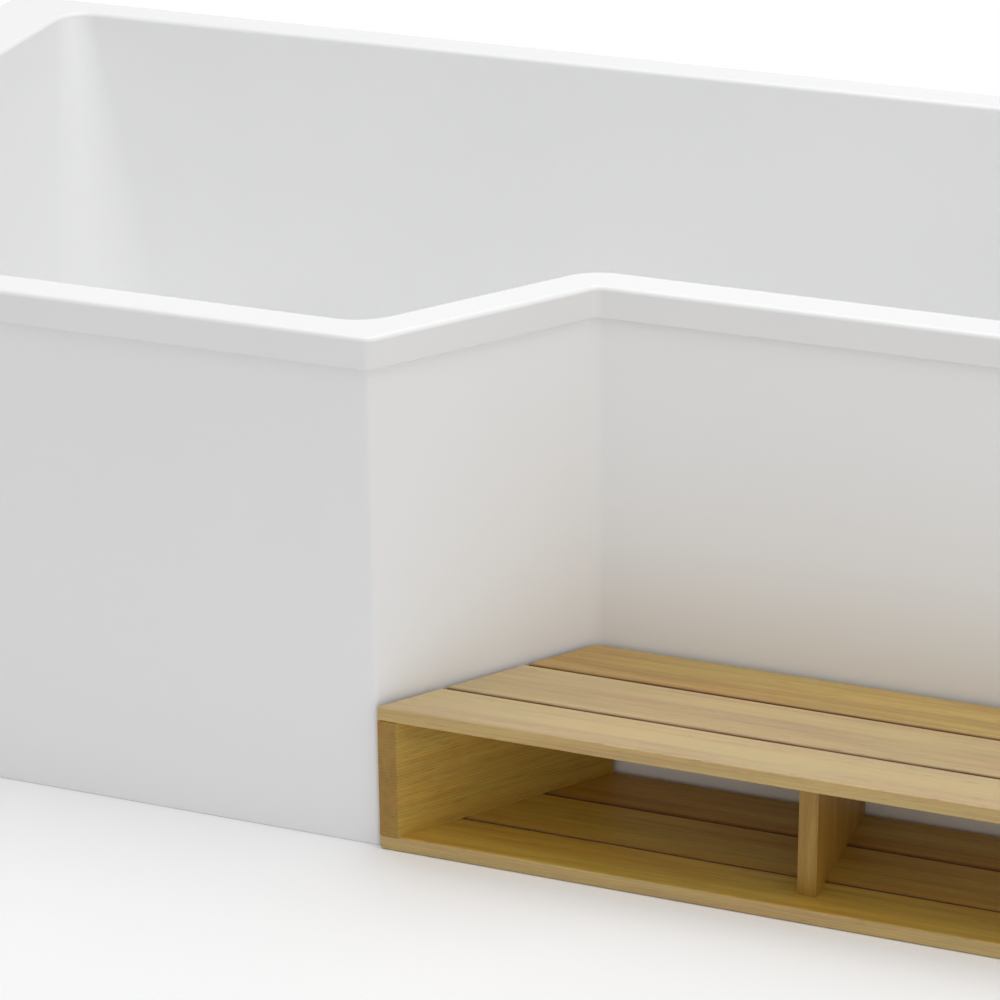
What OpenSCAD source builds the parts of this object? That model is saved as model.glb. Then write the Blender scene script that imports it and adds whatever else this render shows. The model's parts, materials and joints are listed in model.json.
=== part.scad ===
// Asymmetric shower bath with an oblique return, its front panel, adjustable legs,
// pop-up waste and overflow, and a timber step made to fill the notch at the return.
// +Z is up, the front is -Y, the wall side +Y and the wide showering end -X.
// The origin is on the floor, at the centre of the overall plan.

/* [Bath] */
// Overall length along the wall
length = 1700; // [1600:10:1800]
// Depth of the wide showering end
width = 900; // [860:10:940]
// Depth of the narrow part
narrow_width = 700; // [670:10:740]
// Height of the rim above the floor
height = 540; // [530:5:580]
// Length of the front of the wide end
wide_length = 825; // [780:5:860]
// Sideways run of the oblique return
return_run = 155; // [120:5:180]
// Depth of the tub below the rim
tub_depth = 390; // [370:5:395]

/* [Rim] */
// Thickness of the acrylic shell
shell_t = 5; // [4:0.5:6]
// Width of the rim along the front
front_rim = 40; // [38:1:50]
// Width of the rim along the wall
back_rim = 50; // [42:1:60]
// Width of the deck at each end
end_deck = 88; // [76:1:100]
// Height of the downturned lip
lip_h = 37; // [32:1:44]
// Radius of the rim's outer edge
rim_edge_r = 5; // [3:0.5:7]
// Radius of the edge between rim and well
well_edge_r = 12; // [8:1:14]
// Plan radius of the outer corners
outer_corner_r = 14; // [12:1:18]

/* [Well] */
// How far the front and back walls lean in from top to floor
side_draft = 28; // [20:1:36]
// How far the showering end's wall leans in
shower_draft = 30; // [20:1:36]
// How far the reclining end's wall leans in
recline_draft = 110; // [80:5:130]
// Plan radius of the well's corners at the rim
well_corner_r = 34; // [28:1:50]
// Plan radius of the well's corners at the floor
floor_corner_r = 95; // [80:1:110]
// Plan radius of the well's two bends at the return
well_bend_r = 60; // [40:1:70]
// Radius of the cove between wall and floor
cove_r = 55; // [45:1:58]

/* [Panel and battens] */
// Thickness of the front panel
panel_t = 4; // [3:0.5:5]
// Clearance between the lip's inner face and the panel
panel_gap = 1; // [0.5:0.5:2]
// How far the panel reaches up behind the lip
panel_overlap = 25; // [18:1:28]
// Depth of the panel's turned-in ends
panel_return = 30; // [20:1:36]
// Thickness of the base board
base_board_t = 16; // [12:1:18]
// Height of the battens under the rim
rim_batten_h = 22; // [16:1:25]
// Thickness of the floor battens
floor_batten_t = 20; // [16:1:21]
// Height of the floor battens
floor_batten_h = 38; // [30:1:50]

/* [Legs] */
// Width of a leg rail
rail_w = 35; // [32:1:40]
// Height of a leg rail
rail_h = 25; // [22:1:28]
// Thickness of the rail's steel
rail_t = 2.5; // [2:0.25:3]
// Distance of the reclining-end rail from that end
recline_rail_inset = 380; // [350:5:430]
// Distance of the showering-end rail from that end
shower_rail_inset = 370; // [360:5:390]
// Diameter of the feet's threaded rods
rod_d = 10; // [8:0.5:10]
// Radius of the feet's pads
foot_pad_r = 22; // [18:1:23]
// Height of the feet's pads with their collars
foot_pad_h = 24; // [20:1:28]
// Travel of the feet up and down from rest
foot_travel = 12; // [6:1:13]

/* [Waste and overflow] */
// Radius of the waste hole and of the overflow hole
drain_hole_r = 26; // [25.5:0.25:27]
// Radius of the waste flange
waste_flange_r = 36; // [34:0.5:38]
// Depth of the overflow's centre below the rim
overflow_drop = 80; // [76:1:100]
// Lift of the pop-up plug
plug_lift = 10; // [6:1:12]
// Radius of the waste pipe's socket
pipe_socket_r = 21.6; // [20:0.1:22]
// Depth of the waste pipe's socket
pipe_socket_depth = 30; // [24:1:34]
// Pitch of the ribs on the overflow hose
rib_pitch = 8; // [7:0.5:12]

/* [Step] */
// Height of the step
step_h = 157; // [145:1:170]
// Thickness of the step's planks
plank_t = 15.5; // [14:0.5:20]
// Depth of the front planks
front_plank_w = 59; // [50:1:64]
// How much narrower the back planks are than the middle ones
back_plank_trim = 9; // [0:1:16]
// Open gap between planks
plank_gap = 3; // [2:0.5:5]
// Thickness of the step's end boards
end_board_t = 15; // [14:0.5:20]
// Thickness of the step's middle divider
divider_t = 19; // [15:0.5:22]
// Distance of the divider's centre from the wide end's corner
divider_x = 428; // [400:1:460]
// How far the divider stands back from the front
divider_setback = 26; // [20:1:40]
// Rounding of the planks' long edges
plank_edge_r = 2.5; // [1:0.5:4]
// Clearance between the step and the panel
step_gap = 6; // [4:0.5:8]

/* [Hidden] */
$fn = 48;

ACRYLIC = [0.95, 0.95, 0.95];
PANEL_WHITE = [0.9, 0.9, 0.9];
CHIPBOARD = [0.76, 0.65, 0.48];
PINE = [0.82, 0.7, 0.5];
OAK = [0.72, 0.58, 0.38];
ZINC = [0.68, 0.7, 0.72];
CHROME = [0.85, 0.86, 0.88];
RUBBER = [0.12, 0.12, 0.12];
PLASTIC = [0.88, 0.88, 0.86];
GREY_PLASTIC = [0.45, 0.46, 0.48];

// Plan outline of the rim, anticlockwise from the front left corner.
narrow_y = width / 2 - narrow_width;
corner_x = wide_length - length / 2;
OUTLINE = [
    [-length / 2, -width / 2], [corner_x, -width / 2], [corner_x + return_run, narrow_y],
    [length / 2, narrow_y], [length / 2, width / 2], [-length / 2, width / 2]
];
N = len(OUTLINE);
WIDE_SIDE = 0;
RETURN_SIDE = 1;
NARROW_SIDE = 2;
RECLINE_SIDE = 3;
BACK_SIDE = 4;
SHOWER_SIDE = 5;
BEND = 2;
corner_steps = 8;

RIM = [front_rim, front_rim, front_rim, end_deck, back_rim, end_deck];
DRAFT = [side_draft, side_draft, side_draft, recline_draft, side_draft, shower_draft];
OUTER_R = [for (j = [0 : N - 1]) outer_corner_r];
WELL_R = [for (j = [0 : N - 1]) j == 1 || j == BEND ? well_bend_r : well_corner_r];
FLOOR_R = [for (j = [0 : N - 1]) j == BEND ? well_bend_r : floor_corner_r];

floor_z = height - tub_depth;
wall_top_z = height - well_edge_r;
wall_foot_z = floor_z + cove_r;
rim_under_z = height - shell_t;
lip_z = height - lip_h;
board_top_z = floor_z - shell_t;
board_z = board_top_z - base_board_t;
rail_z = board_z - rail_h;
panel_inset = shell_t + panel_gap;
panel_back = panel_inset + panel_t;
panel_top_z = lip_z + panel_overlap;
rim_batten_z = rim_under_z - rim_batten_h;

function unit(v) = v / norm(v);
function spin(v, a) = [v[0] * cos(a) - v[1] * sin(a), v[0] * sin(a) + v[1] * cos(a)];
function cross_z(a, b) = a[0] * b[1] - a[1] * b[0];
function previous(j) = (j + N - 1) % N;
function side_length(i) = norm(OUTLINE[(i + 1) % N] - OUTLINE[i]);
function side_dir(i) = unit(OUTLINE[(i + 1) % N] - OUTLINE[i]);
function side_in(i) = spin(side_dir(i), 90);
function even(v) = [for (j = [0 : N - 1]) v];

// Plan radii that follow when every corner moves in by d: a re-entrant corner opens up.
function radii_in(radii, d) = [for (j = [0 : N - 1]) radii[j] + (j == BEND ? d : -d)];

// Where two neighbouring sides meet once each has moved in by its own inset.
function corner_point(j, inset) =
    let (
        p = previous(j),
        n0 = side_in(p),
        n1 = side_in(j),
        c = n0 * n1
    )
    OUTLINE[j] + ((inset[p] - inset[j] * c) * n0 + (inset[j] - inset[p] * c) * n1) / (1 - c * c);

// One rounded corner of an inset outline, as points.
function corner_arc(j, inset, r) =
    let (
        p = previous(j),
        turn = atan2(cross_z(side_dir(p), side_dir(j)), side_dir(p) * side_dir(j)),
        arm = side_in(p) * r * sign(turn),
        start = corner_point(j, inset) - side_dir(p) * r * tan(abs(turn) / 2)
    )
    [for (k = [0 : corner_steps]) start + arm - spin(arm, turn * k / corner_steps)];

function outline_in(inset, radii) = [for (j = [0 : N - 1]) each corner_arc(j, inset, radii[j])];
function at_height(points, z) = [for (p = points) [p[0], p[1], z]];

// A level of the shell is its six insets, its six plan radii and its height.
function level(inset, radii, z) = at_height(outline_in(inset, radii), z);

// The wall's lean, carried on from the well's edge up to the underside of the rim.
lean_on = (rim_under_z - wall_top_z) / (wall_top_z - wall_foot_z);

// The lower skin, from the floor's underside out to the foot of the lip.
function lower_skin() = concat(
    [for (a = [90 : -15 : 0])
        let (d = (cove_r + shell_t) * (1 - cos(a)))
        level(RIM + DRAFT + even(d - shell_t), radii_in(FLOOR_R, d - shell_t),
            wall_foot_z - (cove_r + shell_t) * sin(a))],
    [level(RIM - DRAFT * lean_on - even(shell_t), radii_in(WELL_R - (FLOOR_R - WELL_R) * lean_on, -shell_t),
        rim_under_z)],
    [for (z = [rim_under_z, lip_z]) level(even(shell_t), radii_in(OUTER_R, shell_t), z)]
);

// The upper skin, from the foot of the lip over the rim and down the well to its floor.
function upper_skin() = concat(
    [level(even(0), OUTER_R, lip_z)],
    [for (a = [0 : 22.5 : 90])
        let (d = rim_edge_r * (1 - cos(a)))
        level(even(d), radii_in(OUTER_R, d), height - rim_edge_r * (1 - sin(a)))],
    [for (a = [0 : 18 : 90])
        let (d = well_edge_r * (sin(a) - 1))
        level(RIM + even(d), radii_in(WELL_R, d), height - well_edge_r * (1 - cos(a)))],
    [for (a = [0 : 15 : 90])
        let (d = cove_r * (1 - cos(a)))
        level(RIM + DRAFT + even(d), radii_in(FLOOR_R, d), wall_foot_z - cove_r * sin(a))]
);

// Closed solid through a list of rings, each with the same number of points.
module loft(rings) {
    count = len(rings[0]);
    last = len(rings) - 1;
    sides = [for (r = [0 : last - 1]) for (i = [0 : count - 1])
        let (
            a = r * count + i,
            b = r * count + (i + 1) % count
        )
        each [[a, a + count, b + count], [a, b + count, b]]];
    caps = [
        [for (i = [0 : count - 1]) i],
        [for (i = [count - 1 : -1 : 0]) last * count + i]
    ];
    polyhedron([for (r = rings) each r], concat(sides, caps), convexity = 10);
}

// Moves a piece to a side of the outline: +X then runs along the side and +Y into the bath.
module on_side(i, along, inset = 0) {
    p = OUTLINE[i] + side_dir(i) * along + side_in(i) * inset;
    translate([p[0], p[1], 0])
        rotate(atan2(side_dir(i)[1], side_dir(i)[0]))
            children();
}

// A tube or a ring about Z, from z0 to z1.
module tube(outer_r, inner_r, z0, z1) {
    translate([0, 0, z0])
        difference() {
            cylinder(h = z1 - z0, r = outer_r);
            translate([0, 0, -1])
                cylinder(h = z1 - z0 + 2, r = inner_r);
        }
}

// A round bar or hole along +X from x0 to x1.
module bar_x(r, x0, x1) {
    translate([x0, 0, 0])
        rotate([0, 90, 0])
            cylinder(h = x1 - x0, r = r);
}

// A round bar or hole along +Y from y0 to y1.
module bar_y(r, y0, y1) {
    translate([0, y0, 0])
        rotate([-90, 0, 0])
            cylinder(h = y1 - y0, r = r);
}

// Bath shell

waste_margin = 52;
waste_x = -length / 2 + end_deck + shower_draft + cove_r + waste_margin;
waste_recess = 2.5;
waste_seat_z = floor_z - waste_recess;
waste_boss_z = board_top_z - waste_recess;
waste_seat_clear = 1.5;
boss_margin = 6;
waste_boss_r = waste_flange_r + boss_margin;

// The overflow follows the lean of the showering end's wall.
overflow_z = height - overflow_drop;
wall_fall = shower_draft / (wall_top_z - wall_foot_z);
overflow_x = -length / 2 + end_deck + wall_fall * (wall_top_z - overflow_z);
overflow_tilt = atan(wall_fall);
skin_depth = shell_t * cos(overflow_tilt);
drill_reach = 6;

module at_overflow() {
    translate([overflow_x, 0, overflow_z])
        rotate([0, -overflow_tilt, 0])
            children();
}

module bath_shell() {
    color(ACRYLIC)
        difference() {
            union() {
                loft(concat(lower_skin(), upper_skin()));
                translate([waste_x, 0, waste_boss_z])
                    cylinder(h = shell_t, r = waste_boss_r);
            }
            translate([waste_x, 0, waste_seat_z])
                cylinder(h = shell_t, r = waste_flange_r + waste_seat_clear);
            translate([waste_x, 0, waste_boss_z - 1])
                cylinder(h = shell_t + waste_recess, r = drain_hole_r);
            at_overflow()
                bar_x(drain_hole_r, -shell_t - drill_reach, drill_reach);
        }
}

// Base board under the flat floor of the well

floor_inset = RIM + DRAFT + even(cove_r);
board_margin = 3;
waste_cut_clear = 6;
rod_room = 4;
centre_foot_x = -20;
centre_foot_shift = 20;
centre_foot_y = (width / 2 + narrow_y) / 2 - centre_foot_shift;
screw_r = 2;
pilot_gap = 0.05;
pilot_depth = 12;
screw_bite = pilot_depth - 1;
screw_clear = 0.3;

module base_board() {
    color(CHIPBOARD)
        difference() {
            translate([0, 0, board_z])
                linear_extrude(base_board_t)
                    polygon(outline_in(floor_inset + even(board_margin), radii_in(FLOOR_R, cove_r + board_margin)));
            translate([waste_x, 0, board_z - 1])
                cylinder(h = base_board_t + 2, r = waste_boss_r + waste_cut_clear);
            translate([waste_x - waste_margin, -hose_slot_r, board_z - 1])
                cube([waste_margin, 2 * hose_slot_r, base_board_t + 2]);
            translate([centre_foot_x, centre_foot_y, board_z - 1])
                cylinder(h = base_board_t + 2, r = rod_d / 2 + rod_room);
            for (p = concat(rail_screw_places(), plate_screw_places()))
                translate([p[0], p[1], board_z - 1])
                    cylinder(h = pilot_depth + 1, r = screw_r + pilot_gap);
        }
}

// Battens bonded under the rim

batten_end = 26;
end_batten_margin = 66;
batten_slack = 3;
end_batten_slack = 18;
rim_batten_w = front_rim - shell_t - panel_back - batten_slack;
end_batten_w = end_deck - 2 * shell_t - end_batten_slack;

module rim_batten(i, start, finish, inset, w) {
    on_side(i, start, inset)
        translate([0, 0, rim_batten_z])
            cube([side_length(i) - start - finish, w, rim_batten_h]);
}

module rim_battens() {
    color(PINE)
        difference() {
            union() {
                for (i = [WIDE_SIDE, RETURN_SIDE, NARROW_SIDE])
                    rim_batten(i, batten_end, batten_end, panel_back, rim_batten_w);
                for (i = [RECLINE_SIDE, SHOWER_SIDE])
                    rim_batten(i, end_batten_margin, end_batten_margin, shell_t, end_batten_w);
                rim_batten(BACK_SIDE, end_batten_margin, end_batten_margin, back_batten_inset, back_batten_w);
            }
            for (c = CLIPS)
                on_side(c[0], c[1], clip_screw_inset)
                    translate([0, 0, rim_batten_z - 1])
                        cylinder(h = pilot_depth + 1, r = screw_r + pilot_gap);
            for (s = BRACKETS)
                on_side(BACK_SIDE, s, bracket_screw_inset)
                    translate([0, 0, rim_batten_z - 1])
                        cylinder(h = pilot_depth + 1, r = screw_r + pilot_gap);
        }
}

// Front panel in one piece, with turned-in ends

// The panel's plan at an inset from the rim, from its left end to its right end.
function panel_path(inset) =
    let (
        rim = even(inset),
        radii = radii_in(OUTER_R, inset)
    )
    concat(
        [[-length / 2 + inset, -width / 2 + panel_inset + panel_return]],
        corner_arc(0, rim, radii[0]),
        corner_arc(1, rim, radii[1]),
        corner_arc(BEND, rim, radii[BEND]),
        corner_arc(RECLINE_SIDE, rim, radii[RECLINE_SIDE]),
        [[length / 2 - inset, narrow_y + panel_inset + panel_return]]
    );
function backwards(points) = [for (k = [len(points) - 1 : -1 : 0]) points[k]];

module front_panel() {
    color(PANEL_WHITE)
        linear_extrude(panel_top_z)
            polygon(concat(panel_path(panel_inset), backwards(panel_path(panel_back))));
}

// Floor battens behind the panel

batten_clear = 2;

module floor_battens() {
    color(PINE)
        for (i = [WIDE_SIDE, RETURN_SIDE, NARROW_SIDE]) {
            start = i == WIDE_SIDE ? outer_corner_r + batten_clear : batten_end;
            finish = i == NARROW_SIDE ? outer_corner_r + batten_clear : batten_end;
            on_side(i, start, panel_back)
                cube([side_length(i) - start - finish, floor_batten_t, floor_batten_h]);
        }
}

// Clips that hold the panel's top edge against the lip

clip_w = 30;
clip_t = 2;
clip_drop = 30;
clip_end = 100;
clip_reach = rim_batten_w - clip_t;
clip_screw_inset = panel_back + (clip_reach + clip_t) / 2;
screw_head_r = 4;
screw_head_h = 2.4;

// Each clip is a side of the outline and a distance along it: both ends and the middle.
function clips_on(i) = [for (x = [clip_end, side_length(i) / 2, side_length(i) - clip_end]) [i, x]];
CLIPS = concat(clips_on(WIDE_SIDE), [[RETURN_SIDE, side_length(RETURN_SIDE) / 2]], clips_on(NARROW_SIDE));

module panel_clips() {
    color(ZINC)
        for (c = CLIPS)
            on_side(c[0], c[1], panel_back)
                translate([-clip_w / 2, 0, rim_batten_z - clip_t])
                    difference() {
                        union() {
                            cube([clip_w, clip_reach, clip_t]);
                            translate([0, 0, -clip_drop])
                                cube([clip_w, clip_t, clip_drop + clip_t]);
                        }
                        translate([clip_w / 2, clip_screw_inset - panel_back, -1])
                            cylinder(h = clip_t + 2, r = screw_r + screw_clear);
                    }
}

// A pan-head screw driven upwards: its head lies below z and its shank above.
module upward_screw(z, shank) {
    translate([0, 0, z - screw_head_h])
        cylinder(h = screw_head_h, r = screw_head_r);
    translate([0, 0, z])
        cylinder(h = shank, r = screw_r);
}

module clip_screws() {
    color(ZINC)
        for (c = CLIPS)
            on_side(c[0], c[1], clip_screw_inset)
                upward_screw(rim_batten_z - clip_t, clip_t + screw_bite);
}

// Leg rails: open-bottomed steel channels across the bath

foot_out = 8;
rail_end = 16;
rail_screw_inset = 40;
rail_screw_gaps = 3;
front_foot_inset = front_rim + side_draft - shell_t - foot_out;
back_foot_y = width / 2 - back_rim - side_draft + shell_t + foot_out;
shower_front_y = -width / 2 + front_foot_inset;
recline_front_y = narrow_y + front_foot_inset;
rod_clearance = 0.5;
rod_hole_r = rod_d / 2 + rod_clearance;
recline_rail_x = length / 2 - recline_rail_inset;
shower_rail_x = shower_rail_inset - length / 2;

// Each foot is its X and its Y.
SHOWER_FRONT = [shower_rail_x, shower_front_y];
SHOWER_BACK = [shower_rail_x, back_foot_y];
RECLINE_FRONT = [recline_rail_x, recline_front_y];
RECLINE_BACK = [recline_rail_x, back_foot_y];
CENTRE = [centre_foot_x, centre_foot_y];
RAIL_FEET = [SHOWER_FRONT, SHOWER_BACK, RECLINE_FRONT, RECLINE_BACK];

// Y of each screw along a rail, from inside one edge of the board to inside the other.
function rail_screw_ys(front_y) =
    let (
        first = front_y + foot_out + cove_r + rail_screw_inset,
        last = back_foot_y - foot_out - cove_r - rail_screw_inset
    )
    [for (k = [0 : rail_screw_gaps]) first + (last - first) * k / rail_screw_gaps];

plate_size = 76;
plate_t = 4;
plate_screw_inset = 10;
plate_screw_offset = plate_size / 2 - plate_screw_inset;
function rail_screw_places() = concat(
    [for (y = rail_screw_ys(shower_front_y)) [shower_rail_x, y]],
    [for (y = rail_screw_ys(recline_front_y)) [recline_rail_x, y]]
);
function plate_screw_places() =
    [for (sx = [-1, 1]) for (sy = [-1, 1]) CENTRE + [sx, sy] * plate_screw_offset];

module leg_rail(x, front_y) {
    run = back_foot_y - front_y + 2 * rail_end;
    color(ZINC)
        difference() {
            translate([x - rail_w / 2, front_y - rail_end, rail_z])
                cube([rail_w, run, rail_h]);
            translate([x - rail_w / 2 + rail_t, front_y - rail_end - 1, rail_z - 1])
                cube([rail_w - 2 * rail_t, run + 2, rail_h - rail_t + 1]);
            for (y = [front_y, back_foot_y])
                translate([x, y, rail_z])
                    cylinder(h = rail_h + 1, r = rod_hole_r);
            for (y = rail_screw_ys(front_y))
                translate([x, y, rail_z])
                    cylinder(h = rail_h + 1, r = screw_r + screw_clear);
        }
}

module shower_leg_rail() {
    leg_rail(shower_rail_x, shower_front_y);
}

module recline_leg_rail() {
    leg_rail(recline_rail_x, recline_front_y);
}

module centre_foot_plate() {
    color(ZINC)
        difference() {
            translate([centre_foot_x - plate_size / 2, centre_foot_y - plate_size / 2, board_z - plate_t])
                cube([plate_size, plate_size, plate_t]);
            translate([centre_foot_x, centre_foot_y, board_z - plate_t - 1])
                cylinder(h = plate_t + 2, r = rod_hole_r);
            for (p = plate_screw_places())
                translate([p[0], p[1], board_z - plate_t - 1])
                    cylinder(h = plate_t + 2, r = screw_r + screw_clear);
        }
}

module rail_screws() {
    color(ZINC) {
        for (p = rail_screw_places())
            translate([p[0], p[1], 0])
                upward_screw(board_z - rail_t, rail_t + screw_bite);
        for (p = plate_screw_places())
            translate([p[0], p[1], 0])
                upward_screw(board_z - plate_t, plate_t + screw_bite);
    }
}

// Lock nuts: one under and one over each rail web, one under the centre plate

nut_h = 8;
nut_r = 9.8;
nut_gap = 0.08;

module hex_nut(z) {
    translate([0, 0, z])
        difference() {
            cylinder(h = nut_h, r = nut_r, $fn = 6);
            translate([0, 0, -1])
                cylinder(h = nut_h + 2, r = rod_d / 2 + nut_gap);
        }
}

module foot_nuts() {
    color(ZINC) {
        for (f = RAIL_FEET)
            translate([f[0], f[1], 0]) {
                hex_nut(board_z);
                hex_nut(board_z - rail_t - nut_h);
            }
        translate([CENTRE[0], CENTRE[1], 0])
            hex_nut(board_z - plate_t - nut_h);
    }
}

// Adjustable feet: a moulded pad with a threaded rod pressed into its collar

pad_base_h = 5;
pad_flare_h = 5;
pad_neck_h = 4;
pad_flare = 3;
pad_edge = 1;
pad_collar_t = 4;
pad_collar_r = rod_d / 2 + pad_collar_t;
rod_seat_z = 8;
rod_clear = 3;
rod_chamfer = 1;
rod_top_z = board_top_z + shell_t;
centre_rod_top_z = board_top_z - foot_travel - rod_clear;

module foot_pad(f) {
    color(GREY_PLASTIC)
        translate([f[0], f[1], 0])
            rotate_extrude()
                polygon([
                    [0, 0], [foot_pad_r - pad_edge, 0], [foot_pad_r, pad_edge], [foot_pad_r, pad_base_h],
                    [pad_collar_r + pad_flare, pad_base_h + pad_flare_h],
                    [pad_collar_r, pad_base_h + pad_flare_h + pad_neck_h],
                    [pad_collar_r, foot_pad_h], [rod_d / 2 + nut_gap, foot_pad_h],
                    [rod_d / 2 + nut_gap, rod_seat_z], [0, rod_seat_z]
                ]);
}

module foot_rod(f, top_z) {
    color(ZINC)
        translate([f[0], f[1], rod_seat_z])
            rotate_extrude()
                polygon([
                    [0, 0], [rod_d / 2, 0], [rod_d / 2, top_z - rod_seat_z - rod_chamfer],
                    [rod_d / 2 - rod_chamfer, top_z - rod_seat_z], [0, top_z - rod_seat_z]
                ]);
}

module shower_front_pad() { foot_pad(SHOWER_FRONT); }
module shower_front_rod() { foot_rod(SHOWER_FRONT, rod_top_z); }
module shower_back_pad() { foot_pad(SHOWER_BACK); }
module shower_back_rod() { foot_rod(SHOWER_BACK, rod_top_z); }
module recline_front_pad() { foot_pad(RECLINE_FRONT); }
module recline_front_rod() { foot_rod(RECLINE_FRONT, rod_top_z); }
module recline_back_pad() { foot_pad(RECLINE_BACK); }
module recline_back_rod() { foot_rod(RECLINE_BACK, rod_top_z); }
module centre_pad() { foot_pad(CENTRE); }
module centre_rod() { foot_rod(CENTRE, centre_rod_top_z); }

// Wall brackets: straps that pass under the back lip to the wall

bracket_w = 30;
bracket_t = 2.5;
bracket_drop = 70;
bracket_clear = 2;
back_batten_inset = shell_t + bracket_clear + bracket_t;
back_batten_slack = 9.5;
back_batten_w = back_rim - shell_t - back_batten_inset - back_batten_slack;
bracket_lap = 24;
bracket_reach = back_batten_inset + bracket_lap;
bracket_screw_edge = 10;
bracket_screw_inset = bracket_reach - bracket_screw_edge;
bracket_hole_r = 2.75;
bracket_hole_pitch = 30;
bracket_inset = 300;
BRACKETS = [bracket_inset, length - bracket_inset];

// Section of a strap: X is the distance from the wall, Y the height.
function bracket_section() =
    let (
        top = rim_batten_z,
        bend = shell_t + bracket_clear,
        under = lip_z - bracket_clear
    )
    [
        [bracket_reach, top], [bend, top], [bend, under], [0, under], [0, under - bracket_drop],
        [bracket_t, under - bracket_drop], [bracket_t, under - bracket_t],
        [bend + bracket_t, under - bracket_t], [bend + bracket_t, top - bracket_t],
        [bracket_reach, top - bracket_t]
    ];

bracket_hole_shift = 5;
bracket_hole_z = lip_z - bracket_clear - bracket_drop / 2 - bracket_hole_shift;

module wall_brackets() {
    color(ZINC)
        for (s = BRACKETS)
            on_side(BACK_SIDE, s)
                difference() {
                    translate([-bracket_w / 2, 0, 0])
                        rotate([90, 0, 90])
                            linear_extrude(bracket_w)
                                polygon(bracket_section());
                    for (k = [-0.5, 0.5])
                        translate([0, 0, bracket_hole_z + k * bracket_hole_pitch])
                            bar_y(bracket_hole_r, -1, bracket_t + 1);
                    translate([0, bracket_screw_inset, rim_batten_z - bracket_t - 1])
                        cylinder(h = bracket_t + 2, r = screw_r + screw_clear);
                }
}

module bracket_screws() {
    color(ZINC)
        for (s = BRACKETS)
            on_side(BACK_SIDE, s, bracket_screw_inset)
                upward_screw(rim_batten_z - bracket_t, bracket_t + screw_bite);
}

// Pop-up waste

waste_seal_t = 1.5;
seal_inset = 1;
seal_clear = 0.3;
flange_z = waste_seat_z + waste_seal_t;
flange_t = 2.5;
flange_edge = 1;
tail_clear = 1.5;
tail_t = 3;
tail_step = 0.5;
tail_r = drain_hole_r - tail_clear;
tail_bore_r = tail_r - tail_t;
flange_bore_r = tail_bore_r - tail_step;
flange_slope = 4;
flange_funnel = 5;
funnel_drop = 1;
tail_drop = 34;
tail_relief = 6;
tail_taper = 2;
spider_drop = 24;
spider_t = 4;
spider_w = 4;
stem_r = 4;
stem_gap = 0.08;
stem_spare = 2;
hub_t = 4;
hub_r = stem_r + hub_t;

module at_waste() {
    translate([waste_x, 0, 0])
        children();
}

module waste_flange() {
    color(CHROME)
        at_waste() {
            translate([0, 0, flange_z])
                rotate_extrude()
                    polygon([
                        [tail_r, 0], [waste_flange_r, 0], [waste_flange_r, flange_edge],
                        [waste_flange_r - flange_slope, flange_t], [flange_bore_r + flange_funnel, flange_t],
                        [flange_bore_r, -funnel_drop], [flange_bore_r, tail_relief - tail_drop],
                        [tail_bore_r, tail_relief - tail_taper - tail_drop], [tail_bore_r, -tail_drop],
                        [tail_r, -tail_drop]
                    ]);
            translate([0, 0, flange_z - spider_drop])
                difference() {
                    union() {
                        cylinder(h = spider_t, r = hub_r);
                        for (a = [0, 120, 240])
                            rotate(a)
                                translate([0, -spider_w / 2, 0])
                                    cube([tail_bore_r, spider_w, spider_t]);
                    }
                    translate([0, 0, -1])
                        cylinder(h = spider_t + 2, r = stem_r + stem_gap);
                }
        }
}

module waste_top_seal() {
    color(RUBBER)
        at_waste()
            tube(waste_flange_r - seal_inset, tail_r + seal_clear, waste_seat_z, flange_z);
}

bottom_seal_t = 3;
body_flange_reach = 4;
body_flange_r = waste_flange_r + body_flange_reach;
body_top_z = waste_boss_z - bottom_seal_t;
body_flange_t = 6;
barrel_t = 5.1;
thread_clear = 0.4;
barrel_bore_r = tail_r + thread_clear;
barrel_r = barrel_bore_r + barrel_t;
barrel_floor_t = 4;
barrel_h = 40;
barrel_foot_z = body_top_z - barrel_h;
outlet_r = 21.9;
outlet_bore_r = 18;
outlet_h = 14;
outlet_foot_z = barrel_foot_z - outlet_h;
hose_spigot_r = 13;
hose_spigot_bore_r = 10;
hose_spigot_end = 58;
hose_rise = 18;
hose_z = barrel_foot_z + hose_rise;
cable_y = 22;
cable_r = 3;
push_gap = 0.1;
cable_boss_r = 5.5;
cable_seat = 10;
cable_socket = 12;
cable_fall = 4;
cable_z = hose_z - cable_fall;
cable_boss_end = 44;

module waste_bottom_seal() {
    color(RUBBER)
        at_waste()
            tube(body_flange_r - seal_inset, tail_r + seal_clear, body_top_z, waste_boss_z);
}

module waste_body() {
    color(PLASTIC)
        at_waste()
            difference() {
                union() {
                    translate([0, 0, body_top_z - body_flange_t])
                        cylinder(h = body_flange_t, r = body_flange_r);
                    translate([0, 0, barrel_foot_z])
                        cylinder(h = body_top_z - barrel_foot_z, r = barrel_r);
                    translate([0, 0, outlet_foot_z])
                        cylinder(h = barrel_foot_z - outlet_foot_z, r = outlet_r);
                    translate([0, 0, hose_z])
                        bar_x(hose_spigot_r, -hose_spigot_end, 0);
                    translate([0, cable_y, cable_z])
                        bar_x(cable_boss_r, -cable_boss_end, 0);
                }
                translate([0, 0, barrel_foot_z + barrel_floor_t])
                    cylinder(h = body_top_z - barrel_foot_z, r = barrel_bore_r);
                translate([0, 0, outlet_foot_z - 1])
                    cylinder(h = body_top_z - outlet_foot_z, r = outlet_bore_r);
                translate([0, 0, hose_z])
                    bar_x(hose_spigot_bore_r, -hose_spigot_end - 1, -outlet_bore_r / 2);
                translate([0, cable_y, cable_z])
                    bar_x(cable_r + push_gap, -cable_boss_end - 1, -cable_boss_end + cable_socket);
            }
}

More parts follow.
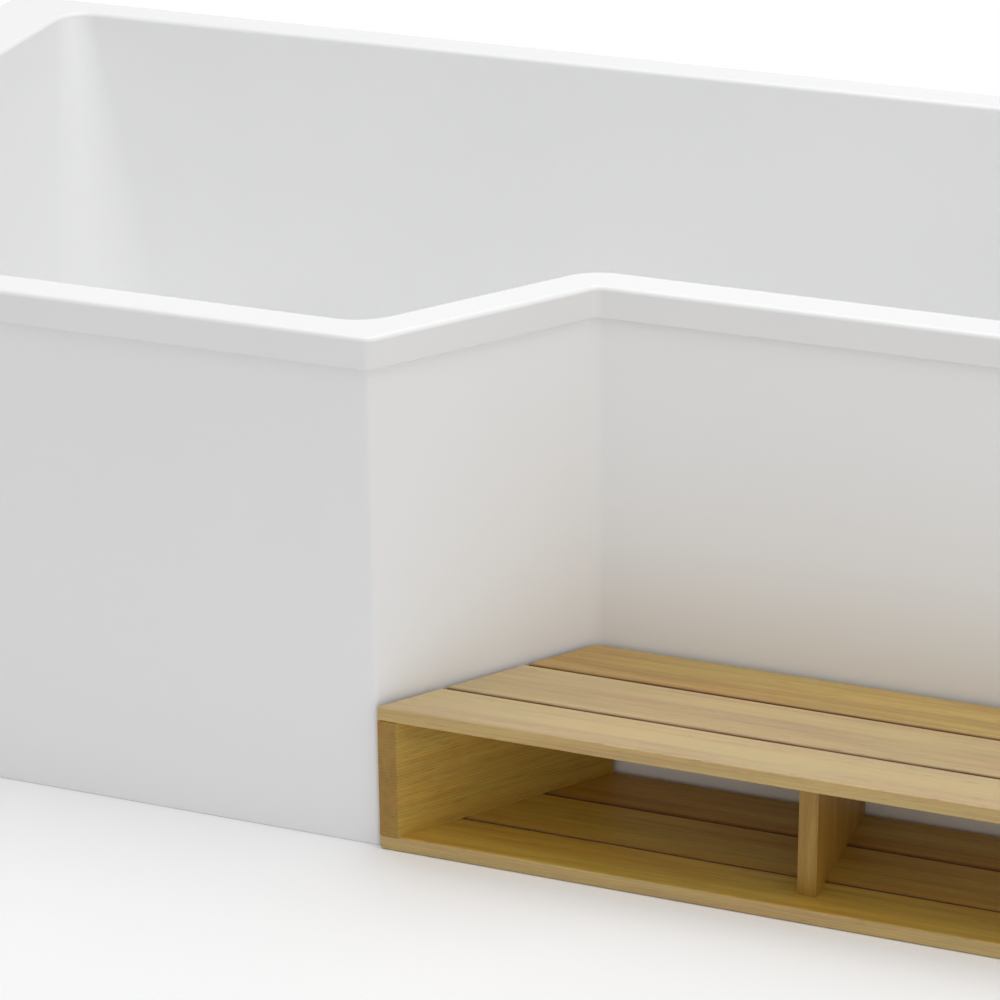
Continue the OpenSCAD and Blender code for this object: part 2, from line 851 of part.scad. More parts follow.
// Plug: a domed cap on a guided stem, closed at rest and lifted by the overflow knob

plug_inset = 6;
plug_r = waste_flange_r - plug_inset;
plug_gap = 0.4;
plug_seal_r = flange_bore_r - plug_gap;
plug_seal_h = 4;
plug_edge = 1;
plug_z = flange_z + flange_t + plug_gap;
plug_rim_h = 2.5;
plug_dome_h = 3.5;
stem_foot_z = flange_z - spider_drop - plug_lift - stem_spare;
stem_collar_t = 2.9;
stem_collar_clear = 0.1;

module plug_cap() {
    color(CHROME)
        at_waste()
            translate([0, 0, plug_z])
                rotate_extrude()
                    polygon(concat(
                        [[0, 0], [plug_r - plug_edge, 0], [plug_r, plug_edge], [plug_r, plug_rim_h]],
                        [for (a = [15 : 15 : 90]) [plug_r * cos(a), plug_rim_h + plug_dome_h * sin(a)]]
                    ));
}

module plug_seal() {
    color(RUBBER)
        at_waste()
            tube(plug_seal_r, stem_r + stem_collar_t + stem_collar_clear, plug_z - plug_seal_h, plug_z);
}

module plug_stem() {
    color(CHROME)
        at_waste() {
            translate([0, 0, plug_z - plug_seal_h])
                cylinder(h = plug_seal_h, r = stem_r + stem_collar_t);
            translate([0, 0, stem_foot_z])
                cylinder(h = plug_z - stem_foot_z, r = stem_r);
        }
}

// Overflow: all in the wall's leaning frame, +X into the tub and +Z up the wall

face_t = 3;
face_margin = 10;
face_r = drain_hole_r + face_margin;
face_edge = 1;
face_bevel = 2;
neck_t = 2.5;
neck_depth = 8;
spindle_r = 5;
spindle_gap = 0.08;
spindle_hub_r = spindle_r + hub_t;
spindle_hub_h = 6;
water_hole_r = 4.5;
water_circle_r = 16.5;
knob_gap = 6;
knob_r = 32;
knob_h = 14;
knob_edge_r = 4;
knob_foot_r = 1;
knob_dish = 1;
knob_bore = 7;
knob_flutes = 18;
flute_r = 1.6;
flute_out = 0.4;
overflow_seal_t = 3;
seal_x = -skin_depth - overflow_seal_t;
overflow_flange_t = 4;
body_flange_x = seal_x - overflow_flange_t;
cup_r = 30;
cup_bore_r = 25;
cup_depth = 26;
cup_x = body_flange_x - cup_depth;
cup_back_t = 4;
spigot_offset = 15;
spigot_x = body_flange_x - spigot_offset;
spigot_drop = 58;
cable_drop = 42;
cam_r = 12;
cam_t = 4;
cam_clear = 1;
cam_x = cup_x + cup_back_t + cam_clear;
crank_r = 3;
crank_l = 3;

module overflow_plate() {
    color(CHROME)
        at_overflow()
            difference() {
                union() {
                    rotate([0, 90, 0])
                        rotate_extrude()
                            polygon([
                                [0, 0], [face_r, 0], [face_r, face_edge], [face_r - face_bevel, face_t], [0, face_t]
                            ]);
                    difference() {
                        bar_x(tail_r, body_flange_x - neck_depth, 1);
                        bar_x(tail_r - neck_t, body_flange_x - neck_depth - 1, 0);
                    }
                    bar_x(spindle_hub_r, -spindle_hub_h, 1);
                }
                bar_x(spindle_r + spindle_gap, -spindle_hub_h - 1, face_t + 1);
                for (a = [0 : 60 : 300])
                    rotate([a, 0, 0])
                        translate([0, 0, water_circle_r])
                            bar_x(water_hole_r, -1, face_t + 1);
            }
}

module overflow_knob() {
    color(CHROME)
        at_overflow()
            translate([face_t + knob_gap, 0, 0])
                difference() {
                    rotate([0, 90, 0])
                        rotate_extrude()
                            polygon(concat(
                                [[0, 0], [knob_r - knob_foot_r, 0], [knob_r, knob_foot_r]],
                                [for (a = [0 : 15 : 90])
                                    [knob_r + knob_edge_r * (cos(a) - 1), knob_h + knob_edge_r * (sin(a) - 1)]],
                                [[0, knob_h - knob_dish]]
                            ));
                    for (k = [0 : knob_flutes - 1])
                        rotate([360 * k / knob_flutes, 0, 0])
                            translate([0, 0, knob_r + flute_out])
                                bar_x(flute_r, -1, knob_h + 1);
                    bar_x(spindle_r + pilot_gap, -1, knob_bore);
                }
}

module overflow_spindle() {
    color(CHROME)
        at_overflow() {
            bar_x(spindle_r, cam_x, face_t + knob_gap + knob_bore);
            bar_x(cam_r, cam_x, cam_x + cam_t);
            translate([0, 0, -cam_r])
                bar_x(crank_r, cam_x, cam_x + cam_t + crank_l);
        }
}

module overflow_seal() {
    color(RUBBER)
        at_overflow()
            difference() {
                bar_x(face_r - seal_inset, seal_x, -skin_depth);
                bar_x(tail_r + seal_clear, seal_x - 1, 0);
            }
}

module overflow_body() {
    color(PLASTIC)
        at_overflow()
            difference() {
                union() {
                    bar_x(face_r, body_flange_x, seal_x);
                    bar_x(cup_r, cup_x, seal_x);
                    translate([spigot_x, 0, -spigot_drop])
                        cylinder(h = spigot_drop, r = hose_spigot_r);
                    translate([spigot_x, cable_y, -cable_drop])
                        cylinder(h = cable_drop, r = cable_boss_r);
                }
                bar_x(cup_bore_r, cup_x + cup_back_t, seal_x + 1);
                translate([spigot_x, 0, -spigot_drop - 1])
                    cylinder(h = spigot_drop, r = hose_spigot_bore_r);
                translate([spigot_x, cable_y, -cable_drop - 1])
                    cylinder(h = cable_socket + 1, r = cable_r + push_gap);
            }
}

// Hose and cable: both run down behind the wall, bend once and come in to the waste.

// A point of the overflow's leaning frame, in the bath's frame.
function from_overflow(p) = [
    overflow_x + p[0] * cos(overflow_tilt) - p[2] * sin(overflow_tilt),
    p[1],
    overflow_z + p[0] * sin(overflow_tilt) + p[2] * cos(overflow_tilt)
];

// A route is its start, the corner of its two straights, its end and its bend radius.
function route(start, end, r) =
    let (
        down = [sin(overflow_tilt), 0, -cos(overflow_tilt)],
        corner = start + down * (start[2] - end[2]) / cos(overflow_tilt)
    )
    [start, corner, end, r];
function route_turn(q) = acos(unit(q[1] - q[0]) * unit(q[2] - q[1]));
function route_cut(q) = q[3] * tan(route_turn(q) / 2);
function route_arc(q) = q[3] * route_turn(q) * PI / 180;
function route_straight(q) = norm(q[1] - q[0]) - route_cut(q);
function route_length(q) = route_straight(q) + route_arc(q) + norm(q[2] - q[1]) - route_cut(q);

// Point and direction of a route at a distance s from its start.
function route_at(q, s) =
    let (
        d0 = unit(q[1] - q[0]),
        d1 = unit(q[2] - q[1]),
        straight = route_straight(q),
        inward = unit(d1 - d0 * (d0 * d1)),
        a = (s - straight) / q[3] * 180 / PI
    )
    s <= straight ? [q[0] + d0 * s, d0]
    : s < straight + route_arc(q)
        ? [q[0] + d0 * (straight + q[3] * sin(a)) + inward * q[3] * (1 - cos(a)), d0 * cos(a) + inward * sin(a)]
        : [q[2] - d1 * (route_length(q) - s), d1];

// A ring of points round a route, which lies in a plane square to Y.
function route_ring(q, s, r, sides) =
    let (at = route_at(q, s), across = cross([0, 1, 0], at[1]))
    [for (k = [0 : sides - 1]) at[0] + r * (cos(360 * k / sides) * across + sin(360 * k / sides) * [0, 1, 0])];

hose_wall = 1.4;
hose_bore_steps = 16;
rib_h = 2.2;
hose_bend_r = 46;
hose_sides = 8;
hose_cuff = 22;
hose_seat = 20;
hose_route = route(
    from_overflow([spigot_x, 0, -spigot_drop + hose_seat]),
    [waste_x - hose_spigot_end + hose_seat, 0, hose_z],
    hose_bend_r
);
hose_bore_r = hose_spigot_r + push_gap;
hose_r = hose_bore_r / cos(180 / hose_sides) + hose_wall;
hose_slot_clear = 4;
hose_slot_r = hose_r + rib_h + hose_slot_clear;
cable_route = route(
    from_overflow([spigot_x, cable_y, -cable_drop + cable_seat]),
    [waste_x - cable_boss_end + cable_seat, cable_y, cable_z],
    hose_bend_r
);
cable_sides = 8;
cable_pitch = 12;

module overflow_hose() {
    total = route_length(hose_route);
    ribs = floor((total - 2 * hose_cuff) / rib_pitch);
    first = (total - ribs * rib_pitch) / 2;
    outside = concat(
        [route_ring(hose_route, 0, hose_r, hose_sides)],
        [for (k = [0 : ribs - 1]) each [
            route_ring(hose_route, first + k * rib_pitch, hose_r, hose_sides),
            route_ring(hose_route, first + (k + 0.5) * rib_pitch, hose_r + rib_h, hose_sides)
        ]],
        [route_ring(hose_route, total - first, hose_r, hose_sides), route_ring(hose_route, total, hose_r, hose_sides)]
    );
    inside = [for (k = [0 : hose_bore_steps])
        route_ring(hose_route, -1 + (total + 2) * k / hose_bore_steps, hose_r - hose_wall, hose_sides)];
    color(GREY_PLASTIC)
        difference() {
            loft(outside);
            loft(inside);
        }
}

module lift_cable() {
    total = route_length(cable_route);
    count = ceil(total / cable_pitch);
    color(RUBBER)
        loft([for (k = [0 : count]) route_ring(cable_route, total * k / count, cable_r, cable_sides)]);
}

// Trap under the waste, with its outlet to the wall

trap_wall = 4;
trap_inlet_r = outlet_bore_r + trap_wall;
trap_collar_reach = 5;
trap_collar_r = trap_inlet_r + trap_collar_reach;
trap_seal_t = 4;
trap_top_z = outlet_foot_z - trap_seal_t;
trap_collar_h = 4;
trap_nut_t = 4;
trap_nut_r = trap_collar_r + trap_nut_t;
nut_lip = 4;
nut_grips = 12;
grip_h = 3;
grip_w = 4;
grip_depth = 1.5;
nut_play = 0.2;
bowl_r = 40;
bowl_h = 48;
neck_h = 18;
bowl_top_z = trap_top_z - neck_h;
bowl_foot_z = bowl_top_z - bowl_h;
bowl_edge_r = 10;
bowl_floor_t = 16;
pipe_rise = 31.5;
pipe_z = bowl_foot_z + pipe_rise;
socket_wall = 4;
socket_r = pipe_socket_r + socket_wall;
socket_run = 46;
socket_y = bowl_r + socket_run;
socket_nut_t = 6;
socket_nut_r = socket_r + socket_nut_t;
socket_grip = 16;
coupling_gap = 0.15;
nut_clear = 2;
eye_r = 16;
eye_wall = 2;
eye_run = 8;
eye_y = -bowl_r - eye_run;

// A coupling nut about Z: bored over the collar, lipped under it, with grips round it.
module coupling_nut(outer_r, thread_r, collar_r, lip_r, z0, collar_z, z1) {
    difference() {
        union() {
            translate([0, 0, z0])
                cylinder(h = z1 - z0, r = outer_r - grip_depth);
            for (k = [0 : nut_grips - 1])
                rotate(360 * k / nut_grips)
                    translate([outer_r - grip_h, -grip_w / 2, z0 + 1])
                        cube([grip_h, grip_w, z1 - z0 - 2]);
        }
        translate([0, 0, z0 - 1])
            cylinder(h = z1 - z0 + 2, r = lip_r);
        translate([0, 0, z0 + nut_lip])
            cylinder(h = collar_z - z0 - nut_lip + nut_play, r = collar_r);
        translate([0, 0, collar_z])
            cylinder(h = z1 - collar_z + 1, r = thread_r);
    }
}

module trap_nut() {
    color(PLASTIC)
        at_waste()
            coupling_nut(trap_nut_r, outlet_r + coupling_gap, trap_collar_r + seal_clear,
                trap_inlet_r + thread_clear, trap_top_z - trap_collar_h - nut_lip, trap_top_z + nut_play,
                outlet_foot_z + outlet_h - nut_clear);
}

module trap_seal() {
    color(RUBBER)
        at_waste()
            tube(outlet_r, outlet_bore_r, trap_top_z, outlet_foot_z);
}

module trap_body() {
    color(PLASTIC)
        at_waste()
            difference() {
                union() {
                    rotate_extrude()
                        polygon(concat(
                            [[0, bowl_foot_z]],
                            [for (a = [-90 : 15 : 0])
                                [bowl_r - bowl_edge_r + bowl_edge_r * cos(a),
                                    bowl_foot_z + bowl_edge_r + bowl_edge_r * sin(a)]],
                            [for (a = [0 : 15 : 90])
                                [bowl_r - bowl_edge_r + bowl_edge_r * cos(a),
                                    bowl_top_z - bowl_edge_r + bowl_edge_r * sin(a)]],
                            [[trap_inlet_r, bowl_top_z], [trap_inlet_r, trap_top_z - trap_collar_h],
                                [trap_collar_r, trap_top_z - trap_collar_h], [trap_collar_r, trap_top_z],
                                [0, trap_top_z]]
                        ));
                    translate([0, 0, pipe_z])
                        bar_y(socket_r, 0, socket_y);
                    translate([0, 0, pipe_z])
                        bar_y(eye_r + eye_wall, eye_y, 0);
                }
                translate([0, 0, bowl_foot_z + bowl_floor_t])
                    cylinder(h = trap_top_z - bowl_foot_z, r = outlet_bore_r);
                translate([0, 0, pipe_z])
                    bar_y(outlet_bore_r, 0, socket_y + 1);
                translate([0, 0, pipe_z])
                    bar_y(pipe_socket_r, socket_y - pipe_socket_depth, socket_y + 1);
                translate([0, 0, pipe_z])
                    bar_y(eye_r - eye_wall, eye_y - 1, 0);
            }
}

cap_t = 4;
cap_r = eye_r + eye_wall + cap_t;
cap_end_t = 4;
cap_lap = 7;
cap_grip_w = 3;
cap_grip_h = 1.5;

module trap_cap() {
    color(PLASTIC)
        at_waste()
            translate([0, 0, pipe_z])
                difference() {
                    union() {
                        bar_y(cap_r, eye_y - cap_end_t, eye_y + cap_lap);
                        for (k = [0 : nut_grips - 1])
                            rotate([0, 360 * k / nut_grips, 0])
                                translate([cap_r - 1, eye_y - cap_end_t + 1, -cap_grip_w / 2])
                                    cube([1 + cap_grip_h, cap_end_t + cap_lap - 2, cap_grip_w]);
                    }
                    bar_y(eye_r + eye_wall + push_gap, eye_y, eye_y + cap_lap + 1);
                }
}

outlet_seal_t = 5;
outlet_seal_slack = 0.2;
pipe_clear = 0.5;
outlet_nut_end = socket_y + outlet_seal_t + nut_lip;

module at_outlet() {
    translate([waste_x, 0, pipe_z])
        rotate([-90, 0, 0])
            children();
}

module outlet_nut() {
    color(PLASTIC)
        at_outlet()
            mirror([0, 0, 1])
                coupling_nut(socket_nut_r, socket_r + coupling_gap, socket_r + coupling_gap,
                    pipe_socket_r + pipe_clear, -outlet_nut_end, -socket_y, -socket_y + socket_grip);
}

module outlet_seal() {
    color(RUBBER)
        at_outlet()
            tube(socket_r, pipe_socket_r + pipe_clear, socket_y,
                socket_y + outlet_seal_t - outlet_seal_slack);
}

// Timber step

step_front = -width / 2;
step_back = narrow_y + panel_inset - step_gap;
step_depth = step_back - step_front;
step_right = length / 2;
deck_z = step_h - plank_t;
step_inset = panel_inset - step_gap;
cut_reach = 50;

// X of the return's line, moved into the bath by an inset, at a given Y.
function return_x(y, inset) =
    corner_x + (y + width / 2) * return_run / (narrow_y + width / 2)
    - inset * side_length(RETURN_SIDE) / (narrow_y + width / 2);

// Section of a plank or board: a rectangle with rounded corners.
function rounded_section(w, h, r) =
    let (centres = [[w - r, h - r], [r, h - r], [r, r], [w - r, r]])
    [for (k = [0 : 3]) for (a = [0 : 30 : 90]) centres[k] + r * [cos(90 * k + a), sin(90 * k + a)]];

// Plan of everything to the right of the return, moved by an inset, to cut the step's left end.
module right_of_return(inset) {
    polygon([
        [return_x(step_front - cut_reach, inset), step_front - cut_reach],
        [step_right + cut_reach, step_front - cut_reach],
        [step_right + cut_reach, step_back + cut_reach],
        [return_x(step_back + cut_reach, inset), step_back + cut_reach]
    ]);
}

// Y of the front of each plank, with its depth.
rest_w = step_depth - front_plank_w - 2 * plank_gap;
middle_plank_w = (rest_w + back_plank_trim) / 2;
back_plank_w = (rest_w - back_plank_trim) / 2;
FRONT_PLANK = [step_front, front_plank_w];
MIDDLE_PLANK = [step_front + front_plank_w + plank_gap, middle_plank_w];
BACK_PLANK = [step_back - back_plank_w, back_plank_w];
PLANKS = [FRONT_PLANK, MIDDLE_PLANK, BACK_PLANK];

dowel_r = 4;
dowel_l = 20;
dowel_sink = 10;
dowel_gap = 0.05;
head_sink = 0.6;
front_fixing_shift = 10;
left_board_run = end_board_t * side_length(RETURN_SIDE) / (narrow_y + width / 2);

// X of each upright's middle at a given Y.
function upright_xs(y) = [
    return_x(y, step_inset) + left_board_run / 2, corner_x + divider_x, step_right - end_board_t / 2
];

// Where a plank is fixed to the uprights.
function fixing_places(p) =
    let (y = p[0] + p[1] / 2 + (p == FRONT_PLANK ? front_fixing_shift : 0))
    [for (x = upright_xs(y)) [x, y]];

module plank(p, z) {
    color(OAK)
        difference() {
            intersection() {
                translate([corner_x - cut_reach, p[0], z])
                    rotate([90, 0, 90])
                        linear_extrude(step_right - corner_x + cut_reach)
                            polygon(rounded_section(p[1], plank_t, plank_edge_r));
                translate([0, 0, z - 1])
                    linear_extrude(plank_t + 2)
                        right_of_return(step_inset);
            }
            for (q = fixing_places(p))
                if (z > 0)
                    translate([q[0], q[1], z - 1])
                        cylinder(h = dowel_sink + 1, r = dowel_r + dowel_gap);
                else
                    translate([q[0], q[1], -1]) {
                        cylinder(h = plank_t + 2, r = screw_r + screw_clear);
                        cylinder(h = screw_head_h + head_sink + 1, r = screw_head_r + screw_clear);
                    }
        }
}

module deck_plank_front() { plank(FRONT_PLANK, deck_z); }
module deck_plank_middle() { plank(MIDDLE_PLANK, deck_z); }
module deck_plank_back() { plank(BACK_PLANK, deck_z); }
module floor_plank_front() { plank(FRONT_PLANK, 0); }
module floor_plank_middle() { plank(MIDDLE_PLANK, 0); }
module floor_plank_back() { plank(BACK_PLANK, 0); }

// An upright between floor and deck planks, bored for dowels above and screws below.
module upright(k) {
    color(OAK)
        difference() {
            translate([0, 0, plank_t])
                linear_extrude(deck_z - plank_t)
                    children();
            for (p = PLANKS) {
                q = fixing_places(p)[k];
                translate([q[0], q[1], deck_z - dowel_sink])
                    cylinder(h = dowel_sink + 1, r = dowel_r + dowel_gap);
                translate([q[0], q[1], plank_t - 1])
                    cylinder(h = pilot_depth + 1, r = screw_r + pilot_gap);
            }
        }
}

module left_board() {
    upright(0)
        polygon([
            [return_x(step_front, step_inset), step_front],
            [return_x(step_front, step_inset) + left_board_run, step_front],
            [return_x(step_back, step_inset) + left_board_run, step_back],
            [return_x(step_back, step_inset), step_back]
        ]);
}

module middle_divider() {
    upright(1)
        translate([corner_x + divider_x - divider_t / 2, step_front + divider_setback])
            square([divider_t, step_depth - divider_setback]);
}

module right_board() {
    upright(2)
        translate([step_right - end_board_t, step_front])
            square([end_board_t, step_depth]);
}

module step_dowels() {
    color(PINE)
        for (p = PLANKS)
            for (q = fixing_places(p))
                translate([q[0], q[1], deck_z - dowel_l / 2])
                    cylinder(h = dowel_l, r = dowel_r);
}

module step_screws() {
    color(ZINC)
        for (p = PLANKS)
            for (q = fixing_places(p))
                translate([q[0], q[1], 0])
                    upward_screw(screw_head_h + head_sink, plank_t - screw_head_h - head_sink + screw_bite);
}

bath_shell();
base_board();
rim_battens();
front_panel();
floor_battens();
panel_clips();
clip_screws();
shower_leg_rail();
recline_leg_rail();
centre_foot_plate();
rail_screws();
foot_nuts();
shower_front_pad();
shower_front_rod();
shower_back_pad();
shower_back_rod();
recline_front_pad();
recline_front_rod();
recline_back_pad();
recline_back_rod();
centre_pad();
centre_rod();
wall_brackets();
bracket_screws();
waste_flange();
waste_top_seal();
waste_bottom_seal();
waste_body();
plug_cap();
plug_seal();
plug_stem();
overflow_plate();
overflow_knob();
overflow_spindle();
overflow_seal();
overflow_body();
overflow_hose();
lift_cable();
trap_nut();
trap_seal();
trap_body();
trap_cap();
outlet_nut();
outlet_seal();
deck_plank_front();
deck_plank_middle();
deck_plank_back();
floor_plank_front();
floor_plank_middle();
floor_plank_back();
left_board();
middle_divider();
right_board();
step_dowels();
step_screws();
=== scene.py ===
"""Looks of a shower bath with its front panel, legs, pop-up waste and timber step.

Everything is in metres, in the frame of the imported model: the origin is on the floor at the
centre of the plan, +Z is up, the front is -Y and the wide showering end -X.
"""
import json
import math
import random

import bmesh
import bpy
from mathutils import Matrix, Vector, noise


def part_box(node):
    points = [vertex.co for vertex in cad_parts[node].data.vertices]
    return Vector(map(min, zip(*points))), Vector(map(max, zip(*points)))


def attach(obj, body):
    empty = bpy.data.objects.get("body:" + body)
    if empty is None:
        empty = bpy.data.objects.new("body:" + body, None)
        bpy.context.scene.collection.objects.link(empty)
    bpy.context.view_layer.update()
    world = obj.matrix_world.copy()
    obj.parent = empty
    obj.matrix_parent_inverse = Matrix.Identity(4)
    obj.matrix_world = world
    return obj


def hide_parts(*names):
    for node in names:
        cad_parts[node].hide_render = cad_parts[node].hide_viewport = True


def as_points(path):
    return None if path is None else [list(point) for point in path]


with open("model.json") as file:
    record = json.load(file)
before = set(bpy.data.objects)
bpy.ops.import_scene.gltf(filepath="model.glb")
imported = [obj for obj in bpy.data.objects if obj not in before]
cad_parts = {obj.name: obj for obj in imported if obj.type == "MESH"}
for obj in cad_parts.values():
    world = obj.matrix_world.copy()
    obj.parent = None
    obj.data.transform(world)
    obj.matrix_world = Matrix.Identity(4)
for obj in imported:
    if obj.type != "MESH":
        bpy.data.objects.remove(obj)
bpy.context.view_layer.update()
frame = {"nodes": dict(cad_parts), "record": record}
NODES = frame["nodes"]
BODIES = frame["record"]["behaviour"]["bodies"]
BODY_OF = {node: body for body, members in BODIES.items() for node in members}
SLOT_OF = {row["node"]: row["material_slot"] for row in frame["record"]["subparts"]}

# Sizes of the bath, as in its construction
LENGTH = 1.7
WIDTH = 0.9
NARROW_WIDTH = 0.7
HEIGHT = 0.54
WIDE_LENGTH = 0.825
RETURN_RUN = 0.155
TUB_DEPTH = 0.39
SHELL_T = 0.005
FRONT_RIM = 0.04
BACK_RIM = 0.05
END_DECK = 0.088
LIP_H = 0.037
RIM_EDGE_R = 0.005
WELL_EDGE_R = 0.012
OUTER_CORNER_R = 0.014
SIDE_DRAFT = 0.028
SHOWER_DRAFT = 0.03
RECLINE_DRAFT = 0.11
WELL_CORNER_R = 0.034
FLOOR_CORNER_R = 0.095
WELL_BEND_R = 0.06
COVE_R = 0.055
PANEL_T = 0.004
PANEL_INSET = 0.006
PANEL_RETURN = 0.03
PANEL_OVERLAP = 0.025
PANEL_TOP_Z = HEIGHT - LIP_H + PANEL_OVERLAP

# Where the moulded skin differs from its plain solid, by the photograph: the flat of the rim's front
# and back, its crisper inner edge, and a lip that thins and leans in towards its lower edge
MORE_FRONT = 0.003
LESS_BACK = 0.008
INNER_EDGE_R = 0.006
LIP_RISE = 0.0035
LIP_LEAN = 0.0022

# Plan outline of the rim, anticlockwise from the front left corner. The return leaves the wide front
# at its corner TURN and meets the narrow front at BEND, the one hollow corner.
NARROW_Y = WIDTH / 2 - NARROW_WIDTH
CORNER_X = WIDE_LENGTH - LENGTH / 2
OUTLINE = [Vector(p) for p in (
    (-LENGTH / 2, -WIDTH / 2), (CORNER_X, -WIDTH / 2), (CORNER_X + RETURN_RUN, NARROW_Y),
    (LENGTH / 2, NARROW_Y), (LENGTH / 2, WIDTH / 2), (-LENGTH / 2, WIDTH / 2))]
CORNERS = len(OUTLINE)
TURN = 1
BEND = 2

# Width of the rim and draft of the tub's wall on each side, and radius at each corner
RIM = [FRONT_RIM + MORE_FRONT] * 3 + [END_DECK, BACK_RIM - LESS_BACK, END_DECK]
DRAFT = [SIDE_DRAFT - MORE_FRONT] * 3 + [RECLINE_DRAFT, SIDE_DRAFT + LESS_BACK, SHOWER_DRAFT]
WALL_FOOT = [rim + draft for rim, draft in zip(RIM, DRAFT)]
NO_INSET = [0] * CORNERS
OUTER_R = [OUTER_CORNER_R] * CORNERS
WELL_R = [WELL_BEND_R if j in (TURN, BEND) else WELL_CORNER_R for j in range(CORNERS)]
FLOOR_R = [WELL_BEND_R if j == BEND else FLOOR_CORNER_R for j in range(CORNERS)]
FLOOR_Z = HEIGHT - TUB_DEPTH
WALL_TOP_Z = HEIGHT - WELL_EDGE_R
WALL_FOOT_Z = FLOOR_Z + COVE_R
LIP_Z = HEIGHT - LIP_H + LIP_RISE
RIM_UNDER_Z = HEIGHT - SHELL_T

# Waste and overflow
WASTE_X = -0.625
DRAIN_R = 0.026
WASTE_FLANGE_R = 0.036
WASTE_RECESS = 0.0025
WASTE_SEAT_CLEAR = 0.0015
WASTE_SEAT_Z = FLOOR_Z - WASTE_RECESS
BOSS_MARGIN = 0.006
OVERFLOW_DROP = 0.08
OVERFLOW_Z = HEIGHT - OVERFLOW_DROP
WALL_FALL = SHOWER_DRAFT / (WALL_TOP_Z - WALL_FOOT_Z)
WALL_LEAN = math.atan(WALL_FALL)
OVERFLOW_X = -LENGTH / 2 + END_DECK + WALL_FALL * (WALL_TOP_Z - OVERFLOW_Z)
IN_OVERFLOW = Matrix.Translation((OVERFLOW_X, 0, OVERFLOW_Z)) @ Matrix.Rotation(-WALL_LEAN, 4, "Y")
AT_OVERFLOW = IN_OVERFLOW @ Matrix.Rotation(math.pi / 2, 4, "Y")
AT_WASTE = Matrix.Translation((WASTE_X, 0, 0))

# Overflow hose and lift cable: how far below the overflow hole each leaves its spigot, and how far
# short of the waste's axis it ends
SPIGOT_BACK = 0.022
SPIGOT_X = -SHELL_T * math.cos(WALL_LEAN) - SPIGOT_BACK
HOSE_Z = 0.1175
HOSE_BELOW = 0.038
HOSE_SHORT = 0.038
HOSE_FROM = IN_OVERFLOW @ Vector((SPIGOT_X, 0, -HOSE_BELOW))
HOSE_TO = Vector((WASTE_X - HOSE_SHORT, 0, HOSE_Z))
HOSE_BORE_R = 0.0131
HOSE_R = 0.0149
HOSE_RIB_H = 0.0024
HOSE_RIB_PITCH = 0.008
HOSE_CUFF = 0.022
BEND_R = 0.046
CABLE_Y = 0.022
CABLE_FALL = 0.004
CABLE_BELOW = 0.032
CABLE_SHORT = 0.034
CABLE_FROM = IN_OVERFLOW @ Vector((SPIGOT_X, CABLE_Y, -CABLE_BELOW))
CABLE_TO = Vector((WASTE_X - CABLE_SHORT, CABLE_Y, HOSE_Z - CABLE_FALL))
CABLE_R = 0.003

# Fasteners and feet
SCREW_R = 0.002
SCREW_HEAD_R = 0.004
SCREW_HEAD_H = 0.0024
NUT_R = 0.0098
ROD_R = 0.005
THREAD_PITCH = 0.0015
THREAD_DEPTH = 0.0008

# Camera at the photograph's viewpoint
CAMERA_AT = (1.2372, -3.4326, 1.8233)
CAMERA_RIGHT = Vector((0.936238, 0.351253, -0.008911))
CAMERA_FORWARD = Vector((-0.32403, 0.853314, -0.408484))
CAMERA_LENS = 135.12


def placed(name, data):
    """New object in the scene."""
    made = bpy.data.objects.new(name, data)
    bpy.context.scene.collection.objects.link(made)
    return made


def make_camera():
    data = bpy.data.cameras.new("camera")
    data.lens = CAMERA_LENS
    data.clip_end = 50
    camera = placed("camera", data)
    up = CAMERA_RIGHT.cross(CAMERA_FORWARD)
    turn = Matrix((CAMERA_RIGHT, up, -CAMERA_FORWARD)).transposed()
    camera.matrix_world = Matrix.Translation(CAMERA_AT) @ turn.to_4x4()
    bpy.context.scene.camera = camera


make_camera()


def grey(value):
    return (value, value, value)


def rgba(color):
    return (*color, 1)


